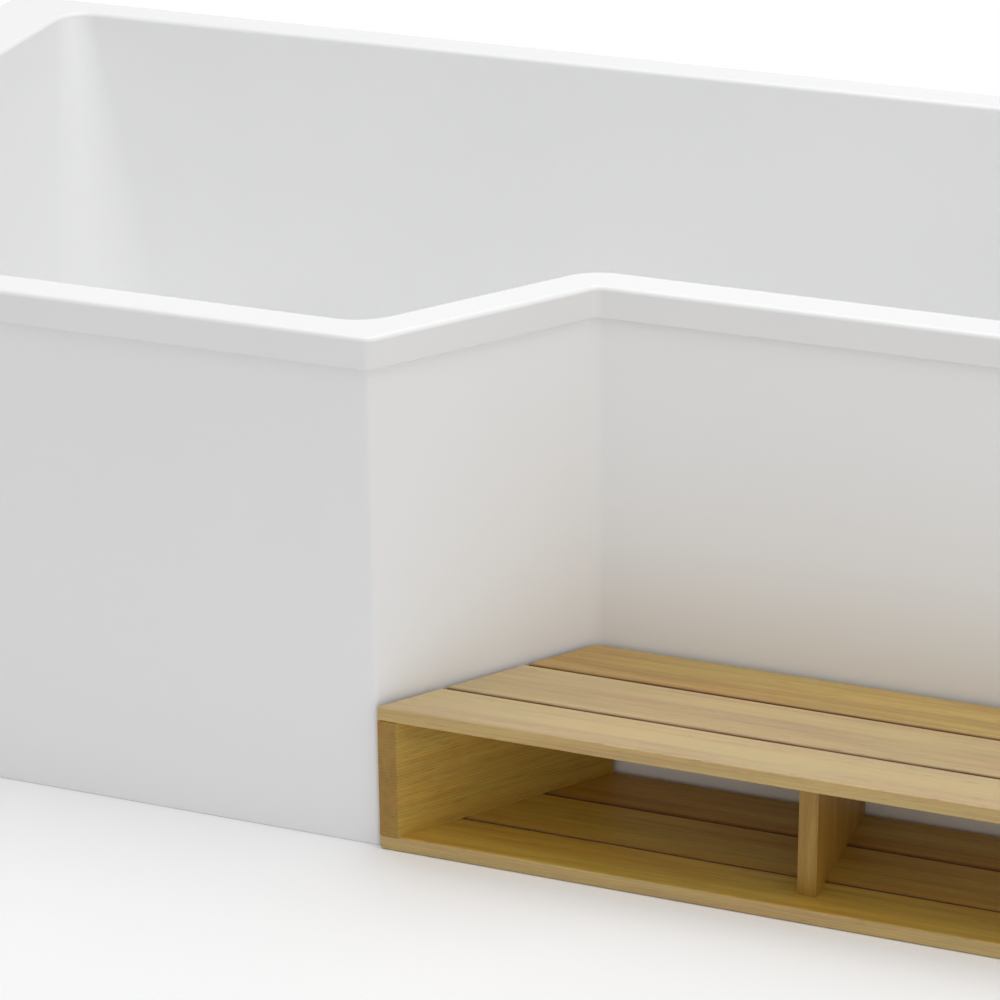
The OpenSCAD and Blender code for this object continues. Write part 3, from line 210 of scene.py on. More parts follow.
class Shader:
    """A material under construction: small helpers that add and link its nodes."""

    def __init__(self, name, **settings):
        self.material = bpy.data.materials.new(name)
        self.material.use_nodes = True
        self.tree = self.material.node_tree
        self.surface = self.tree.nodes["Principled BSDF"]
        for label, value in settings.items():
            self.put(self.surface, {label.replace("_", " ").title().replace("Ior", "IOR"): value})

    def put(self, node, inputs):
        """Links or sets each named or numbered input."""
        for key, value in inputs.items():
            if isinstance(value, bpy.types.NodeSocket):
                self.tree.links.new(value, node.inputs[key])
            else:
                node.inputs[key].default_value = value

    def add(self, kind, inputs, **settings):
        """New node of a kind, with its settings made before its inputs."""
        node = self.tree.nodes.new("ShaderNode" + kind)
        for key, value in settings.items():
            setattr(node, key, value)
        self.put(node, inputs)
        return node

    def place(self):
        """Position on the object, in metres."""
        return self.add("TexCoord", {}).outputs["Object"]

    def attribute(self, name):
        return self.add("Attribute", {}, attribute_name=name).outputs["Vector"]

    def value(self, name):
        """An attribute that is a number."""
        return self.add("Attribute", {}, attribute_name=name).outputs["Fac"]

    def stretch(self, vector, scale, turn=(0, 0, 0)):
        return self.add("Mapping", {0: vector, 2: turn, 3: scale}).outputs[0]

    def noise(self, vector, scale, detail, rough=0.5, distortion=0.0):
        """Noise with about this many features in a metre."""
        node = self.add("TexNoise", {"Vector": vector, "Scale": scale, "Detail": detail,
                                     "Roughness": rough, "Distortion": distortion})
        return node.outputs[0]

    def drawn_out(self, grain, along, across, detail, rough):
        """Noise stretched along a timber's grain."""
        return self.noise(self.stretch(grain, (along, across, across)), 1.0, detail, rough)

    def cells(self, vector, scale, output="Color", **settings):
        return self.add("TexVoronoi", {"Vector": vector, "Scale": scale}, **settings).outputs[output]

    def math(self, operation, a, b=0.0, clamp=False):
        return self.add("Math", {0: a, 1: b}, operation=operation, use_clamp=clamp).outputs[0]

    def plus(self, a, b, clamp=False):
        return self.math("ADD", a, b, clamp)

    def times(self, a, b, clamp=False):
        return self.math("MULTIPLY", a, b, clamp)

    def remap(self, value, low, high, new_low, new_high):
        inputs = {0: value, 1: low, 2: high, 3: new_low, 4: new_high}
        return self.add("MapRange", inputs).outputs[0]

    def spread(self, value, low, high):
        """A noise's usual range made into another."""
        return self.remap(value, 0.3, 0.7, low, high)

    def parts(self, vector):
        return self.add("SeparateXYZ", {0: vector}).outputs

    def ramp(self, value, stops):
        node = self.add("ValToRGB", {0: value})
        elements = node.color_ramp.elements
        while len(elements) < len(stops):
            elements.new(1.0)
        for element, (place, color) in zip(elements, stops):
            element.position = place
            element.color = rgba(color)
        return node.outputs[0]

    def mix(self, factor, a, b, blend="MIX"):
        """Mix of two colours, which are a Mix node's inputs 6 and 7 and its output 2."""
        colors = {0: factor, 6: a, 7: b}
        return self.add("Mix", colors, data_type="RGBA", blend_type=blend).outputs[2]

    def bump(self, height, distance, strength, normal=None):
        inputs = {"Height": height, "Distance": distance, "Strength": strength}
        if normal is not None:
            inputs["Normal"] = normal
        return self.add("Bump", inputs).outputs[0]

    def finish(self, **sockets):
        names = {"color": "Base Color", "roughness": "Roughness", "normal": "Normal"}
        self.put(self.surface, {names[key]: value for key, value in sockets.items()})
        return self.material


# Materials

def acrylic():
    """Glossy sanitary acrylic: clean white, a trace of orange peel and of water haze."""
    s = Shader("acrylic", ior=1.49, specular_ior_level=0.42)
    at = s.place()
    tone = s.noise(at, 2.2, 4)
    color = s.ramp(tone, [(0.3, (0.842, 0.844, 0.846)), (0.7, (0.872, 0.873, 0.875))])
    haze = s.noise(at, 5.0, 3, 0.45)
    polish = s.noise(at, 260.0, 2)
    roughness = s.plus(s.spread(haze, 0.2, 0.25), s.spread(polish, -0.01, 0.01))
    peel = s.noise(at, 160.0, 2, 0.4)
    sag = s.noise(at, 3.5, 1, 0.4)
    normal = s.bump(sag, 0.0008, 0.3, s.bump(peel, 0.00003, 0.5))
    return s.finish(color=color, roughness=roughness, normal=normal)


def fibreglass():
    """Back of the shell: resin over chopped glass strands lying every way."""
    s = Shader("fibreglass", ior=1.52)
    at = s.place()
    strands = None
    for angle, scale in ((0.3, 420), (1.15, 470), (2.05, 440), (2.8, 500)):
        fine = s.stretch(at, (14, scale, scale), (0.35 * angle, 0.5 * angle, angle))
        strand = s.math("POWER", s.noise(fine, 1.0, 2, 0.5, 0.4), 3.0)
        strands = strand if strands is None else s.math("MAXIMUM", strands, strand)
    blotch = s.noise(at, 7.0, 5, 0.6)
    resin = s.ramp(blotch, [(0.25, (0.62, 0.585, 0.48)), (0.75, (0.76, 0.735, 0.65))])
    color = s.mix(s.remap(strands, 0.12, 0.42, 0, 0.75), resin, rgba((0.88, 0.87, 0.82)))
    roughness = s.spread(blotch, 0.34, 0.62)
    runs = s.noise(s.stretch(at, (18, 18, 6)), 1.0, 4, 0.6)
    normal = s.bump(runs, 0.003, 0.6, s.bump(strands, 0.0012, 0.9))
    return s.finish(color=color, roughness=roughness, normal=normal)


def panel_white():
    """Front panel: satin white sheet with a faint draw along its length."""
    s = Shader("panel_white", ior=1.49, coat_weight=0.15, coat_roughness=0.18)
    at = s.place()
    tone = s.noise(at, 1.6, 3)
    color = s.ramp(tone, [(0.3, (0.85, 0.851, 0.855)), (0.7, (0.872, 0.873, 0.876))])
    haze = s.noise(at, 6.0, 4)
    fine = s.noise(at, 420.0, 2)
    roughness = s.plus(s.spread(haze, 0.33, 0.38), s.spread(fine, -0.01, 0.01))
    peel = s.noise(at, 210.0, 2, 0.4)
    wave = s.noise(at, 1.8, 1, 0.4)
    normal = s.bump(wave, 0.001, 0.3, s.bump(peel, 0.00003, 0.5))
    return s.finish(color=color, roughness=roughness, normal=normal)


# Tints of cut ends and of painted shade on front faces, of tops paled by wear and painted sheen, and of
# the bands in the figure
END_GRAIN_AND_SHADE_TINT = (0.43, 0.28, 0.16)
WEAR_AND_SHEEN_TINT = (0.57, 0.535, 0.5)
HONEY_TINT = (1.0, 0.87, 0.66)
OLIVE_TINT = (0.88, 0.92, 0.8)


def wood(name, light, dark, pore, ring=0.0034, pith=0.055, contrast=0.6, shine=(0.36, 0.52)):
    """Timber cut from a log: rings round a pith below the board, pores along the grain.

    It reads what lay_grain writes: the grain, in metres along, across and through each board, and the
    tone, which under the deck and inside the step is painted shade, the end value, end grain with painted
    shade on front faces, and the paling of tops by wear and painted sheen. ring is a ring's width and pith
    the depth of the log's heart.
    """
    s = Shader(name, ior=1.45, coat_weight=0.08, coat_roughness=0.3)
    grain = s.attribute("grain")
    drift = s.drawn_out(grain, 1.3, 9, 3, 0.5)
    waver = s.drawn_out(grain, 7, 60, 3, 0.55)
    across, through = s.parts(grain)[1:3]
    sway = s.plus(s.remap(drift, 0.2, 0.8, -0.011, 0.011), s.remap(waver, 0.2, 0.8, -0.0011, 0.0011))
    side = s.plus(across, sway)
    depth = s.plus(through, pith)
    radius = s.math("SQRT", s.plus(s.times(side, side), s.times(depth, depth)))
    phase = s.math("FRACT", s.math("DIVIDE", radius, ring))
    late = s.math("POWER", phase, 2.2)
    fibres = s.drawn_out(grain, 22, 900, 4, 0.6)
    pores = s.drawn_out(grain, 55, 2300, 2, 0.5)
    early = s.remap(phase, 0.0, 0.55, 1.0, 0.25)
    holes = s.times(s.remap(pores, 0.60, 0.68, 0, 1), early, clamp=True)
    board = s.drawn_out(grain, 2.2, 26, 4, 0.6)
    streak = s.drawn_out(grain, 6.5, 170, 3, 0.55)
    shade = s.plus(s.times(late, 0.55 * contrast), s.remap(board, 0.25, 0.75, -0.35, 0.4))
    shade = s.plus(shade, s.spread(streak, -0.22, 0.26))
    # Each board's tone: under the deck and inside the step it is painted shade
    shade = s.plus(shade, s.value("tone"))
    tone = s.plus(shade, s.spread(fibres, -0.12, 0.22), clamp=True)
    color = s.mix(tone, rgba(light), rgba(dark))
    figure = s.drawn_out(grain, 3.4, 34, 3, 0.55)
    color = s.mix(s.remap(figure, 0.45, 0.68, 0, 0.7), color, rgba(HONEY_TINT), "MULTIPLY")
    color = s.mix(s.remap(figure, 0.55, 0.32, 0, 0.7), color, rgba(OLIVE_TINT), "MULTIPLY")
    color = s.mix(s.times(holes, 0.75), color, rgba(pore))
    # End grain, and painted shade on the front faces in the gaps and under the deck
    color = s.mix(s.times(s.value("end"), 0.8), color, rgba(END_GRAIN_AND_SHADE_TINT), "MULTIPLY")
    # Tops paled: wear together with painted sheen
    color = s.mix(s.times(s.value("wear_and_sheen"), 0.35), color, rgba(WEAR_AND_SHEEN_TINT))
    roughness = s.plus(s.spread(board, shine[0], shine[1]), s.times(holes, 0.2))
    relief = s.math("SUBTRACT", s.times(late, 0.35), holes)
    normal = s.bump(relief, 0.00022, 0.8, s.bump(fibres, 0.00012, 0.6))
    return s.finish(color=color, roughness=roughness, normal=normal)


def chipboard():
    """Raw chipboard: pressed flakes of several tones."""
    s = Shader("chipboard", ior=1.45)
    at = s.place()
    wander = s.add("TexNoise", {"Vector": at, "Scale": 60.0}).outputs[1]
    moved = {0: at, 1: s.stretch(wander, (0.006, 0.006, 0.002))}
    bent = s.add("VectorMath", moved, operation="ADD").outputs[0]
    chips = s.cells(s.stretch(bent, (130, 240, 320)), 1.0)
    small = s.cells(s.stretch(bent, (520, 640, 900)), 1.0)
    large = s.times(s.parts(chips)[0], 0.65)
    tone = s.plus(large, s.times(s.parts(small)[1], 0.35))
    color = s.ramp(tone, [(0.08, (0.30, 0.19, 0.09)), (0.35, (0.52, 0.37, 0.2)), (0.7, (0.64, 0.49, 0.3)),
                          (0.95, (0.76, 0.63, 0.43))])
    roughness = s.remap(tone, 0.1, 0.9, 0.62, 0.85)
    return s.finish(color=color, roughness=roughness, normal=s.bump(tone, 0.0005, 0.7))


def zinc_steel():
    """Zinc-plated pressed steel: spangles, rolling lines and dull patches."""
    s = Shader("zinc_steel", metallic=1.0)
    at = s.place()
    spangle = s.parts(s.cells(at, 95.0))[0]
    dull = s.noise(at, 14.0, 6, 0.65)
    rolled = s.noise(s.stretch(at, (900, 26, 900)), 1.0, 3)
    tone = s.plus(s.times(spangle, 0.35), s.times(dull, 0.65))
    color = s.ramp(tone, [(0.2, (0.42, 0.435, 0.46)), (0.55, (0.58, 0.595, 0.62)),
                          (0.85, (0.7, 0.705, 0.71))])
    roughness = s.plus(s.remap(tone, 0.2, 0.8, 0.5, 0.3), s.spread(rolled, -0.04, 0.05))
    normal = s.bump(rolled, 0.00006, 0.6, s.bump(dull, 0.0004, 0.4))
    return s.finish(color=color, roughness=roughness, normal=normal)


def chrome():
    """Polished chrome with faint water marks."""
    s = Shader("chrome", metallic=1.0)
    at = s.place()
    haze = s.noise(at, 42.0, 6, 0.7)
    marks = s.cells(at, 260.0, "Distance", feature="SMOOTH_F1")
    color = s.ramp(haze, [(0.3, (0.78, 0.79, 0.805)), (0.7, (0.86, 0.865, 0.875))])
    roughness = s.plus(s.remap(haze, 0.35, 0.7, 0.05, 0.13), s.remap(marks, 0.0, 0.25, 0.05, 0.0))
    return s.finish(color=color, roughness=roughness, normal=s.bump(haze, 0.00006, 0.5))


def moulded(name, dark, light, roughness, grit):
    """Injection-moulded plastic with a fine eroded texture."""
    s = Shader(name, ior=1.5)
    at = s.place()
    tone = s.noise(at, 16.0, 5, 0.6)
    color = s.ramp(tone, [(0.3, dark), (0.7, light)])
    fine = s.noise(at, grit, 3, 0.6)
    rough = s.plus(s.spread(tone, roughness - 0.05, roughness + 0.07),
                   s.spread(fine, -0.03, 0.03))
    return s.finish(color=color, roughness=rough, normal=s.bump(fine, 0.00009, 0.7))


def rubber():
    """Matt black rubber with bloom."""
    s = Shader("rubber", ior=1.5)
    at = s.place()
    bloom = s.noise(at, 60.0, 6, 0.7)
    color = s.ramp(bloom, [(0.35, grey(0.018)), (0.75, (0.055, 0.054, 0.052))])
    return s.finish(color=color, roughness=s.spread(bloom, 0.62, 0.85),
                    normal=s.bump(s.noise(at, 900.0, 2), 0.0001, 0.6))


OAK_LIGHT = (0.57, 0.385, 0.07)
OAK_DARK = (0.36, 0.19, 0.02)
OAK_PORE = (0.17, 0.08, 0.02)
MATERIALS = {
    "acrylic": acrylic(),
    "fibreglass": fibreglass(),
    "panel": panel_white(),
    "chipboard": chipboard(),
    "pine": wood("pine", (0.74, 0.56, 0.33), (0.55, 0.34, 0.15), (0.42, 0.25, 0.11),
                 ring=0.0042, pith=0.03, contrast=0.9, shine=(0.55, 0.7)),
    "dowel": wood("dowel", (0.74, 0.58, 0.38), (0.62, 0.44, 0.25), (0.45, 0.3, 0.16),
                  ring=0.002, pith=0.02, contrast=0.3, shine=(0.5, 0.6)),
    "oak": wood("oak", OAK_LIGHT, OAK_DARK, OAK_PORE),
    "zinc_steel": zinc_steel(),
    "chrome": chrome(),
    "rubber": rubber(),
    "cable": moulded("cable", (0.02, 0.02, 0.022), (0.045, 0.045, 0.047), 0.48, 700.0),
    "white_plastic": moulded("white_plastic", (0.74, 0.74, 0.72), (0.82, 0.82, 0.8), 0.36, 1300.0),
    "grey_plastic": moulded("grey_plastic", (0.16, 0.165, 0.175), (0.22, 0.225, 0.235), 0.45, 1500.0),
}


# Mesh helpers: how near vertices weld, the angle within which faces are one flat, and the angle from
# which an edge is eased

WELD = 0.000002
FLAT_WITHIN = math.radians(0.3)
EASE_FROM = math.radians(32)


def new_object(name, verts, faces, *materials):
    mesh = bpy.data.meshes.new(name)
    mesh.from_pydata([tuple(v) for v in verts], [], faces)
    mesh.validate()
    for material in materials:
        mesh.materials.append(MATERIALS[material])
    return placed(name, mesh)


def edit(piece, change):
    """Changes the mesh of a piece in place."""
    bm = bmesh.new()
    bm.from_mesh(piece.data)
    change(bm)
    bm.to_mesh(piece.data)
    bm.free()
    piece.data.update()


def soften(piece, width, segments=2):
    """Rounds every sharp edge, then shades."""

    def change(bm):
        bm.normal_update()
        sharp = [e for e in bm.edges if len(e.link_faces) == 2 and e.calc_face_angle(0) > EASE_FROM]
        bmesh.ops.bevel(bm, geom=sharp, offset=width, segments=segments, profile=0.5, affect="EDGES",
                        clamp_overlap=True)

    edit(piece, change)
    shade(piece)


def shade(piece, sharp_from=40):
    """Shades smooth with the flats kept flat and edges from an angle in degrees kept sharp."""
    limit = math.radians(sharp_from)
    for polygon in piece.data.polygons:
        polygon.use_smooth = True

    def change(bm):
        for e in bm.edges:
            e.smooth = len(e.link_faces) != 2 or e.calc_face_angle(0) < limit

    edit(piece, change)
    modifier = piece.modifiers.new("flats", "WEIGHTED_NORMAL")
    modifier.keep_sharp = True
    modifier.weight = 100


def applied(piece):
    """Bakes the modifiers that a piece has so far into its mesh."""
    depsgraph = bpy.context.evaluated_depsgraph_get()
    mesh = bpy.data.meshes.new_from_object(piece.evaluated_get(depsgraph))
    piece.modifiers.clear()
    piece.data = mesh
    return piece


def dress(piece, *nodes, slot=None):
    """The piece rides where its first node does and stands for all of them."""
    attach(piece, BODY_OF[nodes[0]])
    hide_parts(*nodes)
    slot or SLOT_OF[nodes[0]]
    return piece


def islands(bm):
    """Lists of the vertices that edges join."""
    seen = set()
    for start in bm.verts:
        if start in seen:
            continue
        group = [start]
        seen.add(start)
        for v in group:
            for e in v.link_edges:
                other = e.other_vert(v)
                if other not in seen:
                    seen.add(other)
                    group.append(other)
        yield group


def solids_of(node):
    """Lowest and highest corner of each separate solid of a CAD node."""
    bm = bmesh.new()
    bm.from_mesh(NODES[node].data)
    bmesh.ops.remove_doubles(bm, verts=bm.verts, dist=WELD)
    boxes = []
    for group in islands(bm):
        low = Vector([min(v.co[i] for v in group) for i in range(3)])
        high = Vector([max(v.co[i] for v in group) for i in range(3)])
        boxes.append((low, high))
    bm.free()
    return boxes


def under(low, high):
    """Middle of a box's underside."""
    return Vector(((low.x + high.x) / 2, (low.y + high.y) / 2, low.z))


def repeated(name, pattern, places):
    """One object of many copies of a piece, which it takes the place of."""
    bm = bmesh.new()
    for place in places:
        first = len(bm.verts)
        bm.from_mesh(pattern.data)
        bm.verts.ensure_lookup_table()
        bmesh.ops.transform(bm, matrix=place, verts=bm.verts[first:])
    piece = placed(name, bpy.data.meshes.new(name))
    bm.to_mesh(piece.data)
    bm.free()
    for material in pattern.data.materials:
        piece.data.materials.append(material)
    bpy.data.objects.remove(pattern)
    return piece


# Where in its log a board is cut: up to this far along and this far to either side of its heart
LOG_ALONG = 40
LOG_ASIDE = 0.018


def lay_grain(piece, seed, along=None, wear_and_sheen=0.0, edge=0.0, tone=0.0, pith=0.0, front_painted_shade=0.0):
    """Writes each board's grain: metres along, across and through it, its end grain with painted shade on
    its front faces, its wear with painted sheen, and its tone.

    wear_and_sheen is the paling of its top by wear and painted sheen, edge that of its front edge, and
    front_painted_shade the painted shade on its front faces, in the gaps and under the deck; pith moves
    the log's heart farther off. Without along, the grain follows each board's longest edge.
    """
    rng = random.Random(seed)
    bm = bmesh.new()
    bm.from_mesh(piece.data)
    grain = [None] * len(bm.verts)
    direction = [None] * len(bm.verts)
    bm.verts.ensure_lookup_table()
    bm.verts.index_update()
    for group in islands(bm):
        members = set(group)
        edges = [e for v in group for e in v.link_edges if e.other_vert(v) in members]
        longest = max(edges, key=lambda e: e.calc_length())
        u = Vector(along) if along else (longest.verts[1].co - longest.verts[0].co).normalized()
        across = Vector((0, 0, 1)).cross(u) if abs(u.z) < 0.9 else Vector((1, 0, 0))
        across.normalize()
        through = u.cross(across).normalized()
        middle = sum((v.co for v in group), Vector()) / len(group)
        start = rng.uniform(0, LOG_ALONG)
        aside = rng.uniform(-LOG_ASIDE, LOG_ASIDE)
        turn = rng.choice((-1, 1))
        for v in group:
            d = v.co - middle
            grain[v.index] = (d.dot(u) * turn + start, d.dot(across) + aside, d.dot(through) * turn + pith)
            direction[v.index] = u
    # Front faces take the end tint too: painted shade, in the gaps between planks and under the deck
    end = [max(abs(f.normal.dot(direction[f.verts[0].index])), -f.normal.y * front_painted_shade) for f in bm.faces]
    # Tops pale with wear and painted sheen, and the front plank's front face pales with the same tint
    wear_and_sheen_by_face = [max(0.0, f.normal.z * wear_and_sheen, -f.normal.y * edge) for f in bm.faces]
    bm.free()
    layer = piece.data.attributes.new("grain", "FLOAT_VECTOR", "POINT")
    layer.data.foreach_set("vector", [c for point in grain for c in point])
    for name, values in (("end", end), ("wear_and_sheen", wear_and_sheen_by_face), ("tone", [tone] * len(end))):
        piece.data.attributes.new(name, "FLOAT", "FACE").data.foreach_set("value", values)


def copy_of(node, width, segments=2):
    """A welded copy of a CAD node with its edges eased, to stand for the node."""
    mesh = NODES[node].data.copy()
    mesh.materials.clear()
    mesh.materials.append(MATERIALS[SLOT_OF[node]])
    mesh.name = node + "_piece"
    piece = placed(mesh.name, mesh)

    def weld(bm):
        bmesh.ops.remove_doubles(bm, verts=bm.verts, dist=WELD)
        bmesh.ops.dissolve_limit(bm, angle_limit=FLAT_WITHIN, verts=bm.verts, edges=bm.edges)

    edit(piece, weld)
    soften(piece, width, segments)
    return dress(piece, node)


# Plan outline of the bath, at any insets and corner radii

CORNER_STEPS = 16


def side_direction(i):
    return (OUTLINE[(i + 1) % CORNERS] - OUTLINE[i]).normalized()


def side_inward(i):
    d = side_direction(i)
    return Vector((-d.y, d.x))


def corner_point(j, inset):
    """Corner of the outline with each of its sides moved in by its own inset."""
    p = (j - 1) % CORNERS
    n0, n1 = side_inward(p), side_inward(j)
    c = n0.dot(n1)
    step = n0 * (inset[p] - inset[j] * c) + n1 * (inset[j] - inset[p] * c)
    return OUTLINE[j] + step / (1 - c * c)


def corner_arc(j, inset, r, steps):
    """Points of a rounded corner."""
    p = (j - 1) % CORNERS
    d0, d1 = side_direction(p), side_direction(j)
    turn = math.atan2(d0.x * d1.y - d0.y * d1.x, d0.dot(d1))
    arm = side_inward(p) * r * (1 if turn > 0 else -1)
    start = corner_point(j, inset) - d0 * r * math.tan(abs(turn) / 2)
    points = []
    for k in range(steps + 1):
        a = turn * k / steps
        points.append(start + arm - Vector((arm.x * math.cos(a) - arm.y * math.sin(a),
                                            arm.x * math.sin(a) + arm.y * math.cos(a))))
    return points


def radii_in(radii, d):
    """Corner radii of an outline that lies farther in, where only the hollow corner grows."""
    return [r + (d if j == BEND else -d) for j, r in enumerate(radii)]


def level(insets, radii, d, z):
    """The whole outline at a height, farther in than its insets and radii by a distance."""
    insets = [inset + d for inset in insets]
    radii = radii_in(radii, d)
    return [(*p, z) for j in range(CORNERS) for p in corner_arc(j, insets, radii[j], CORNER_STEPS)]


def arc(count):
    """Angles that divide a quarter turn."""
    return [math.pi / 2 * k / count for k in range(count + 1)]


def blended(a, b, t):
    return [x + (y - x) * t for x, y in zip(a, b)]


def wall_carried_on(rise):
    """Insets and radii of the tub's wall where its slope has run on above its top."""
    share = rise / (WALL_TOP_Z - WALL_FOOT_Z)
    return [rim - draft * share for rim, draft in zip(RIM, DRAFT)], blended(WELL_R, FLOOR_R, -share)


def lower_rings():
    """Underside of the skin, from the floor up to the rim and down the back of the lip."""
    outer = COVE_R + SHELL_T
    rings = []
    for a in reversed(arc(12)):
        d = outer * (1 - math.cos(a)) - SHELL_T
        rings.append(level(WALL_FOOT, FLOOR_R, d, WALL_FOOT_Z - outer * math.sin(a)))
    rings.append(level(*wall_carried_on(RIM_UNDER_Z - WALL_TOP_Z), -SHELL_T, RIM_UNDER_Z))
    for z in (RIM_UNDER_Z, LIP_Z):
        rings.append(level(NO_INSET, OUTER_R, SHELL_T, z))
    return rings


def upper_rings():
    """Face of the skin, from the lip's cut edge over the rim and down to the floor."""
    rings = []
    cut_r = 0.0007
    for a in arc(3):
        d = LIP_LEAN + cut_r * (1 - math.sin(a))
        rings.append(level(NO_INSET, OUTER_R, d, LIP_Z + cut_r * (1 - math.cos(a))))
    for a in arc(8):
        d = RIM_EDGE_R * (1 - math.cos(a))
        rings.append(level(NO_INSET, OUTER_R, d, HEIGHT - RIM_EDGE_R * (1 - math.sin(a))))
    rim, radii = wall_carried_on(WELL_EDGE_R - INNER_EDGE_R)
    for a in arc(12):
        d = INNER_EDGE_R * (math.sin(a) - 1)
        rings.append(level(rim, radii, d, HEIGHT - INNER_EDGE_R * (1 - math.cos(a))))
    for a in arc(16):
        d = COVE_R * (1 - math.cos(a))
        rings.append(level(WALL_FOOT, FLOOR_R, d, WALL_FOOT_Z - COVE_R * math.sin(a)))
    return rings


def circle(r, steps):
    return [(r * math.cos(a), r * math.sin(a)) for a in (2 * math.pi * k / steps for k in range(steps))]


def face_outward(piece):
    edit(piece, lambda bm: bmesh.ops.recalc_face_normals(bm, faces=bm.faces))
    return piece


def ring_faces(rows, count):
    """Quads from each ring of points to the next, and from the last to the first."""
    faces = []
    for row in range(rows):
        here, there = row * count, (row + 1) % rows * count
        for i in range(count):
            j = (i + 1) % count
            faces.append((here + i, here + j, there + j, there + i))
    return faces


def loft(name, rings, *materials):
    """Closed solid through rings of equal length, capped at both ends."""
    count = len(rings[0])
    verts = [p for ring in rings for p in ring]
    last = len(verts) - count
    faces = ring_faces(len(rings), count)[:last]
    faces.append(tuple(reversed(range(count))))
    faces.append(tuple(range(last, last + count)))
    return face_outward(new_object(name, verts, faces, *materials))


def tube_of(name, rings, *materials):
    """Closed surface through rings of equal length, the last joined to the first."""
    verts = [p for ring in rings for p in ring]
    faces = ring_faces(len(rings), len(rings[0]))
    return face_outward(new_object(name, verts, faces, *materials))


def lathe(name, profile, steps, *materials, place=Matrix()):
    """Solid turned about Z from points of (radius, height); the first and last lie on the axis."""
    verts = [(0, 0, profile[0][1])]
    rings = profile[1:-1]
    for r, z in rings:
        verts += [(x, y, z) for x, y in circle(r, steps)]
    verts.append((0, 0, profile[-1][1]))
    end = len(verts) - 1
    faces = []
    for k in range(steps):
        n = (k + 1) % steps
        faces.append((0, 1 + n, 1 + k))
        for r in range(len(rings) - 1):
            a = 1 + r * steps
            faces.append((a + k, a + n, a + steps + n, a + steps + k))
        a = 1 + (len(rings) - 1) * steps
        faces.append((a + k, a + n, end))
    piece = new_object(name, verts, faces, *materials)
    piece.data.transform(place)
    return face_outward(piece)


def cut(piece, tool, operation="DIFFERENCE"):
    """Cuts a piece with a tool, or joins them, and removes the tool."""
    modifier = piece.modifiers.new("cut", "BOOLEAN")
    modifier.operation = operation
    modifier.object = tool
    modifier.solver = "EXACT"
    applied(piece)
    bpy.data.objects.remove(tool)


def close_slivers(piece):
    """Welds what the cuts left a rounding error apart and fills the slivers that they left open."""

    def mend(bm):
        bmesh.ops.remove_doubles(bm, verts=bm.verts[:], dist=WELD)
        ends = [edge for edge in bm.edges if not edge.is_manifold]
        bmesh.ops.holes_fill(bm, edges=ends, sides=4)
        bmesh.ops.recalc_face_normals(bm, faces=bm.faces[:])

    edit(piece, mend)


# Overflow hose and lift cable

class Route:
    """Down along the leaning wall, round one bend and level to the waste, at one Y."""

    def __init__(self, start, end):
        self.start = start
        self.end = end
        self.first = Vector((math.sin(WALL_LEAN), 0, -math.cos(WALL_LEAN)))
        corner = start + self.first * (start.z - end.z) / math.cos(WALL_LEAN)
        self.last = (end - corner).normalized()
        self.turn = self.first.angle(self.last)
        cut_off = BEND_R * math.tan(self.turn / 2)
        self.straight = (corner - start).length - cut_off
        self.length = self.straight + BEND_R * self.turn + (end - corner).length - cut_off

    def at(self, s):
        """Point and direction at a distance s along the route."""
        bend_length = BEND_R * self.turn
        if s <= self.straight:
            return self.start + self.first * s, self.first
        if s >= self.straight + bend_length:
            return self.end - self.last * (self.length - s), self.last
        inward = (self.last - self.first * self.first.dot(self.last)).normalized()
        a = (s - self.straight) / BEND_R
        bend = self.first * math.sin(a) + inward * (1 - math.cos(a))
        heading = self.first * math.cos(a) + inward * math.sin(a)
        return self.start + self.first * self.straight + bend * BEND_R, heading

    def ring(self, s, r, sides):
        """Circle of points square to the route."""
        point, direction = self.at(s)
        across = Vector((0, 1, 0)).cross(direction)
        return [point + across * x + Vector((0, y, 0)) for x, y in circle(r, sides)]

    def points(self, count):
        return [tuple(self.at(self.length * k / count)[0]) for k in range(count + 1)]


def overflow_hose():
    """Ribbed hose: plain cuffs at both ends and round ribs between them, bored right through."""
    route = Route(HOSE_FROM, HOSE_TO)
    sides = 40
    bore_steps = 60
    ribs = int((route.length - 2 * HOSE_CUFF) / HOSE_RIB_PITCH)
    first = (route.length - ribs * HOSE_RIB_PITCH) / 2
    ease = 0.0005
    steps = 8
    outside = [(0, HOSE_R - ease), (ease, HOSE_R)]
    for k in range(ribs * steps + 1):
        swell = 0.5 - 0.5 * math.cos(2 * math.pi * k / steps)
        outside.append((first + k * HOSE_RIB_PITCH / steps, HOSE_R + HOSE_RIB_H * swell))
    outside += [(route.length - ease, HOSE_R), (route.length, HOSE_R - ease)]
    inside = [(route.length * (1 - k / bore_steps), HOSE_BORE_R) for k in range(bore_steps + 1)]
    rings = [route.ring(distance, r, sides) for distance, r in outside + inside]
    piece = tube_of("overflow_hose_ribbed", rings, "grey_plastic")
    shade(piece, 50)
    tuple(route.start)
    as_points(route.points(40))
    return dress(piece, "overflow_hose")


def lift_cable():
    """Bowden cable in its sheath, from the overflow's cam to the waste's lifting arm."""
    route = Route(CABLE_FROM, CABLE_TO)
    sides = 24
    count = 90
    ease = 0.0006
    ends = ((0, CABLE_R - ease), (ease, CABLE_R))
    rings = [route.ring(distance, r, sides) for distance, r in ends]
    rings += [route.ring(route.length * k / count, CABLE_R, sides) for k in range(1, count)]
    rings += [route.ring(route.length - distance, r, sides) for distance, r in reversed(ends)]
    piece = loft("lift_cable_sheath", rings, "cable")
    shade(piece, 50)
    tuple(route.start)
    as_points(route.points(40))
    return dress(piece, "lift_cable")


overflow_hose()
lift_cable()


# Bath shell: heights between which its cutters run, past the surfaces that they open

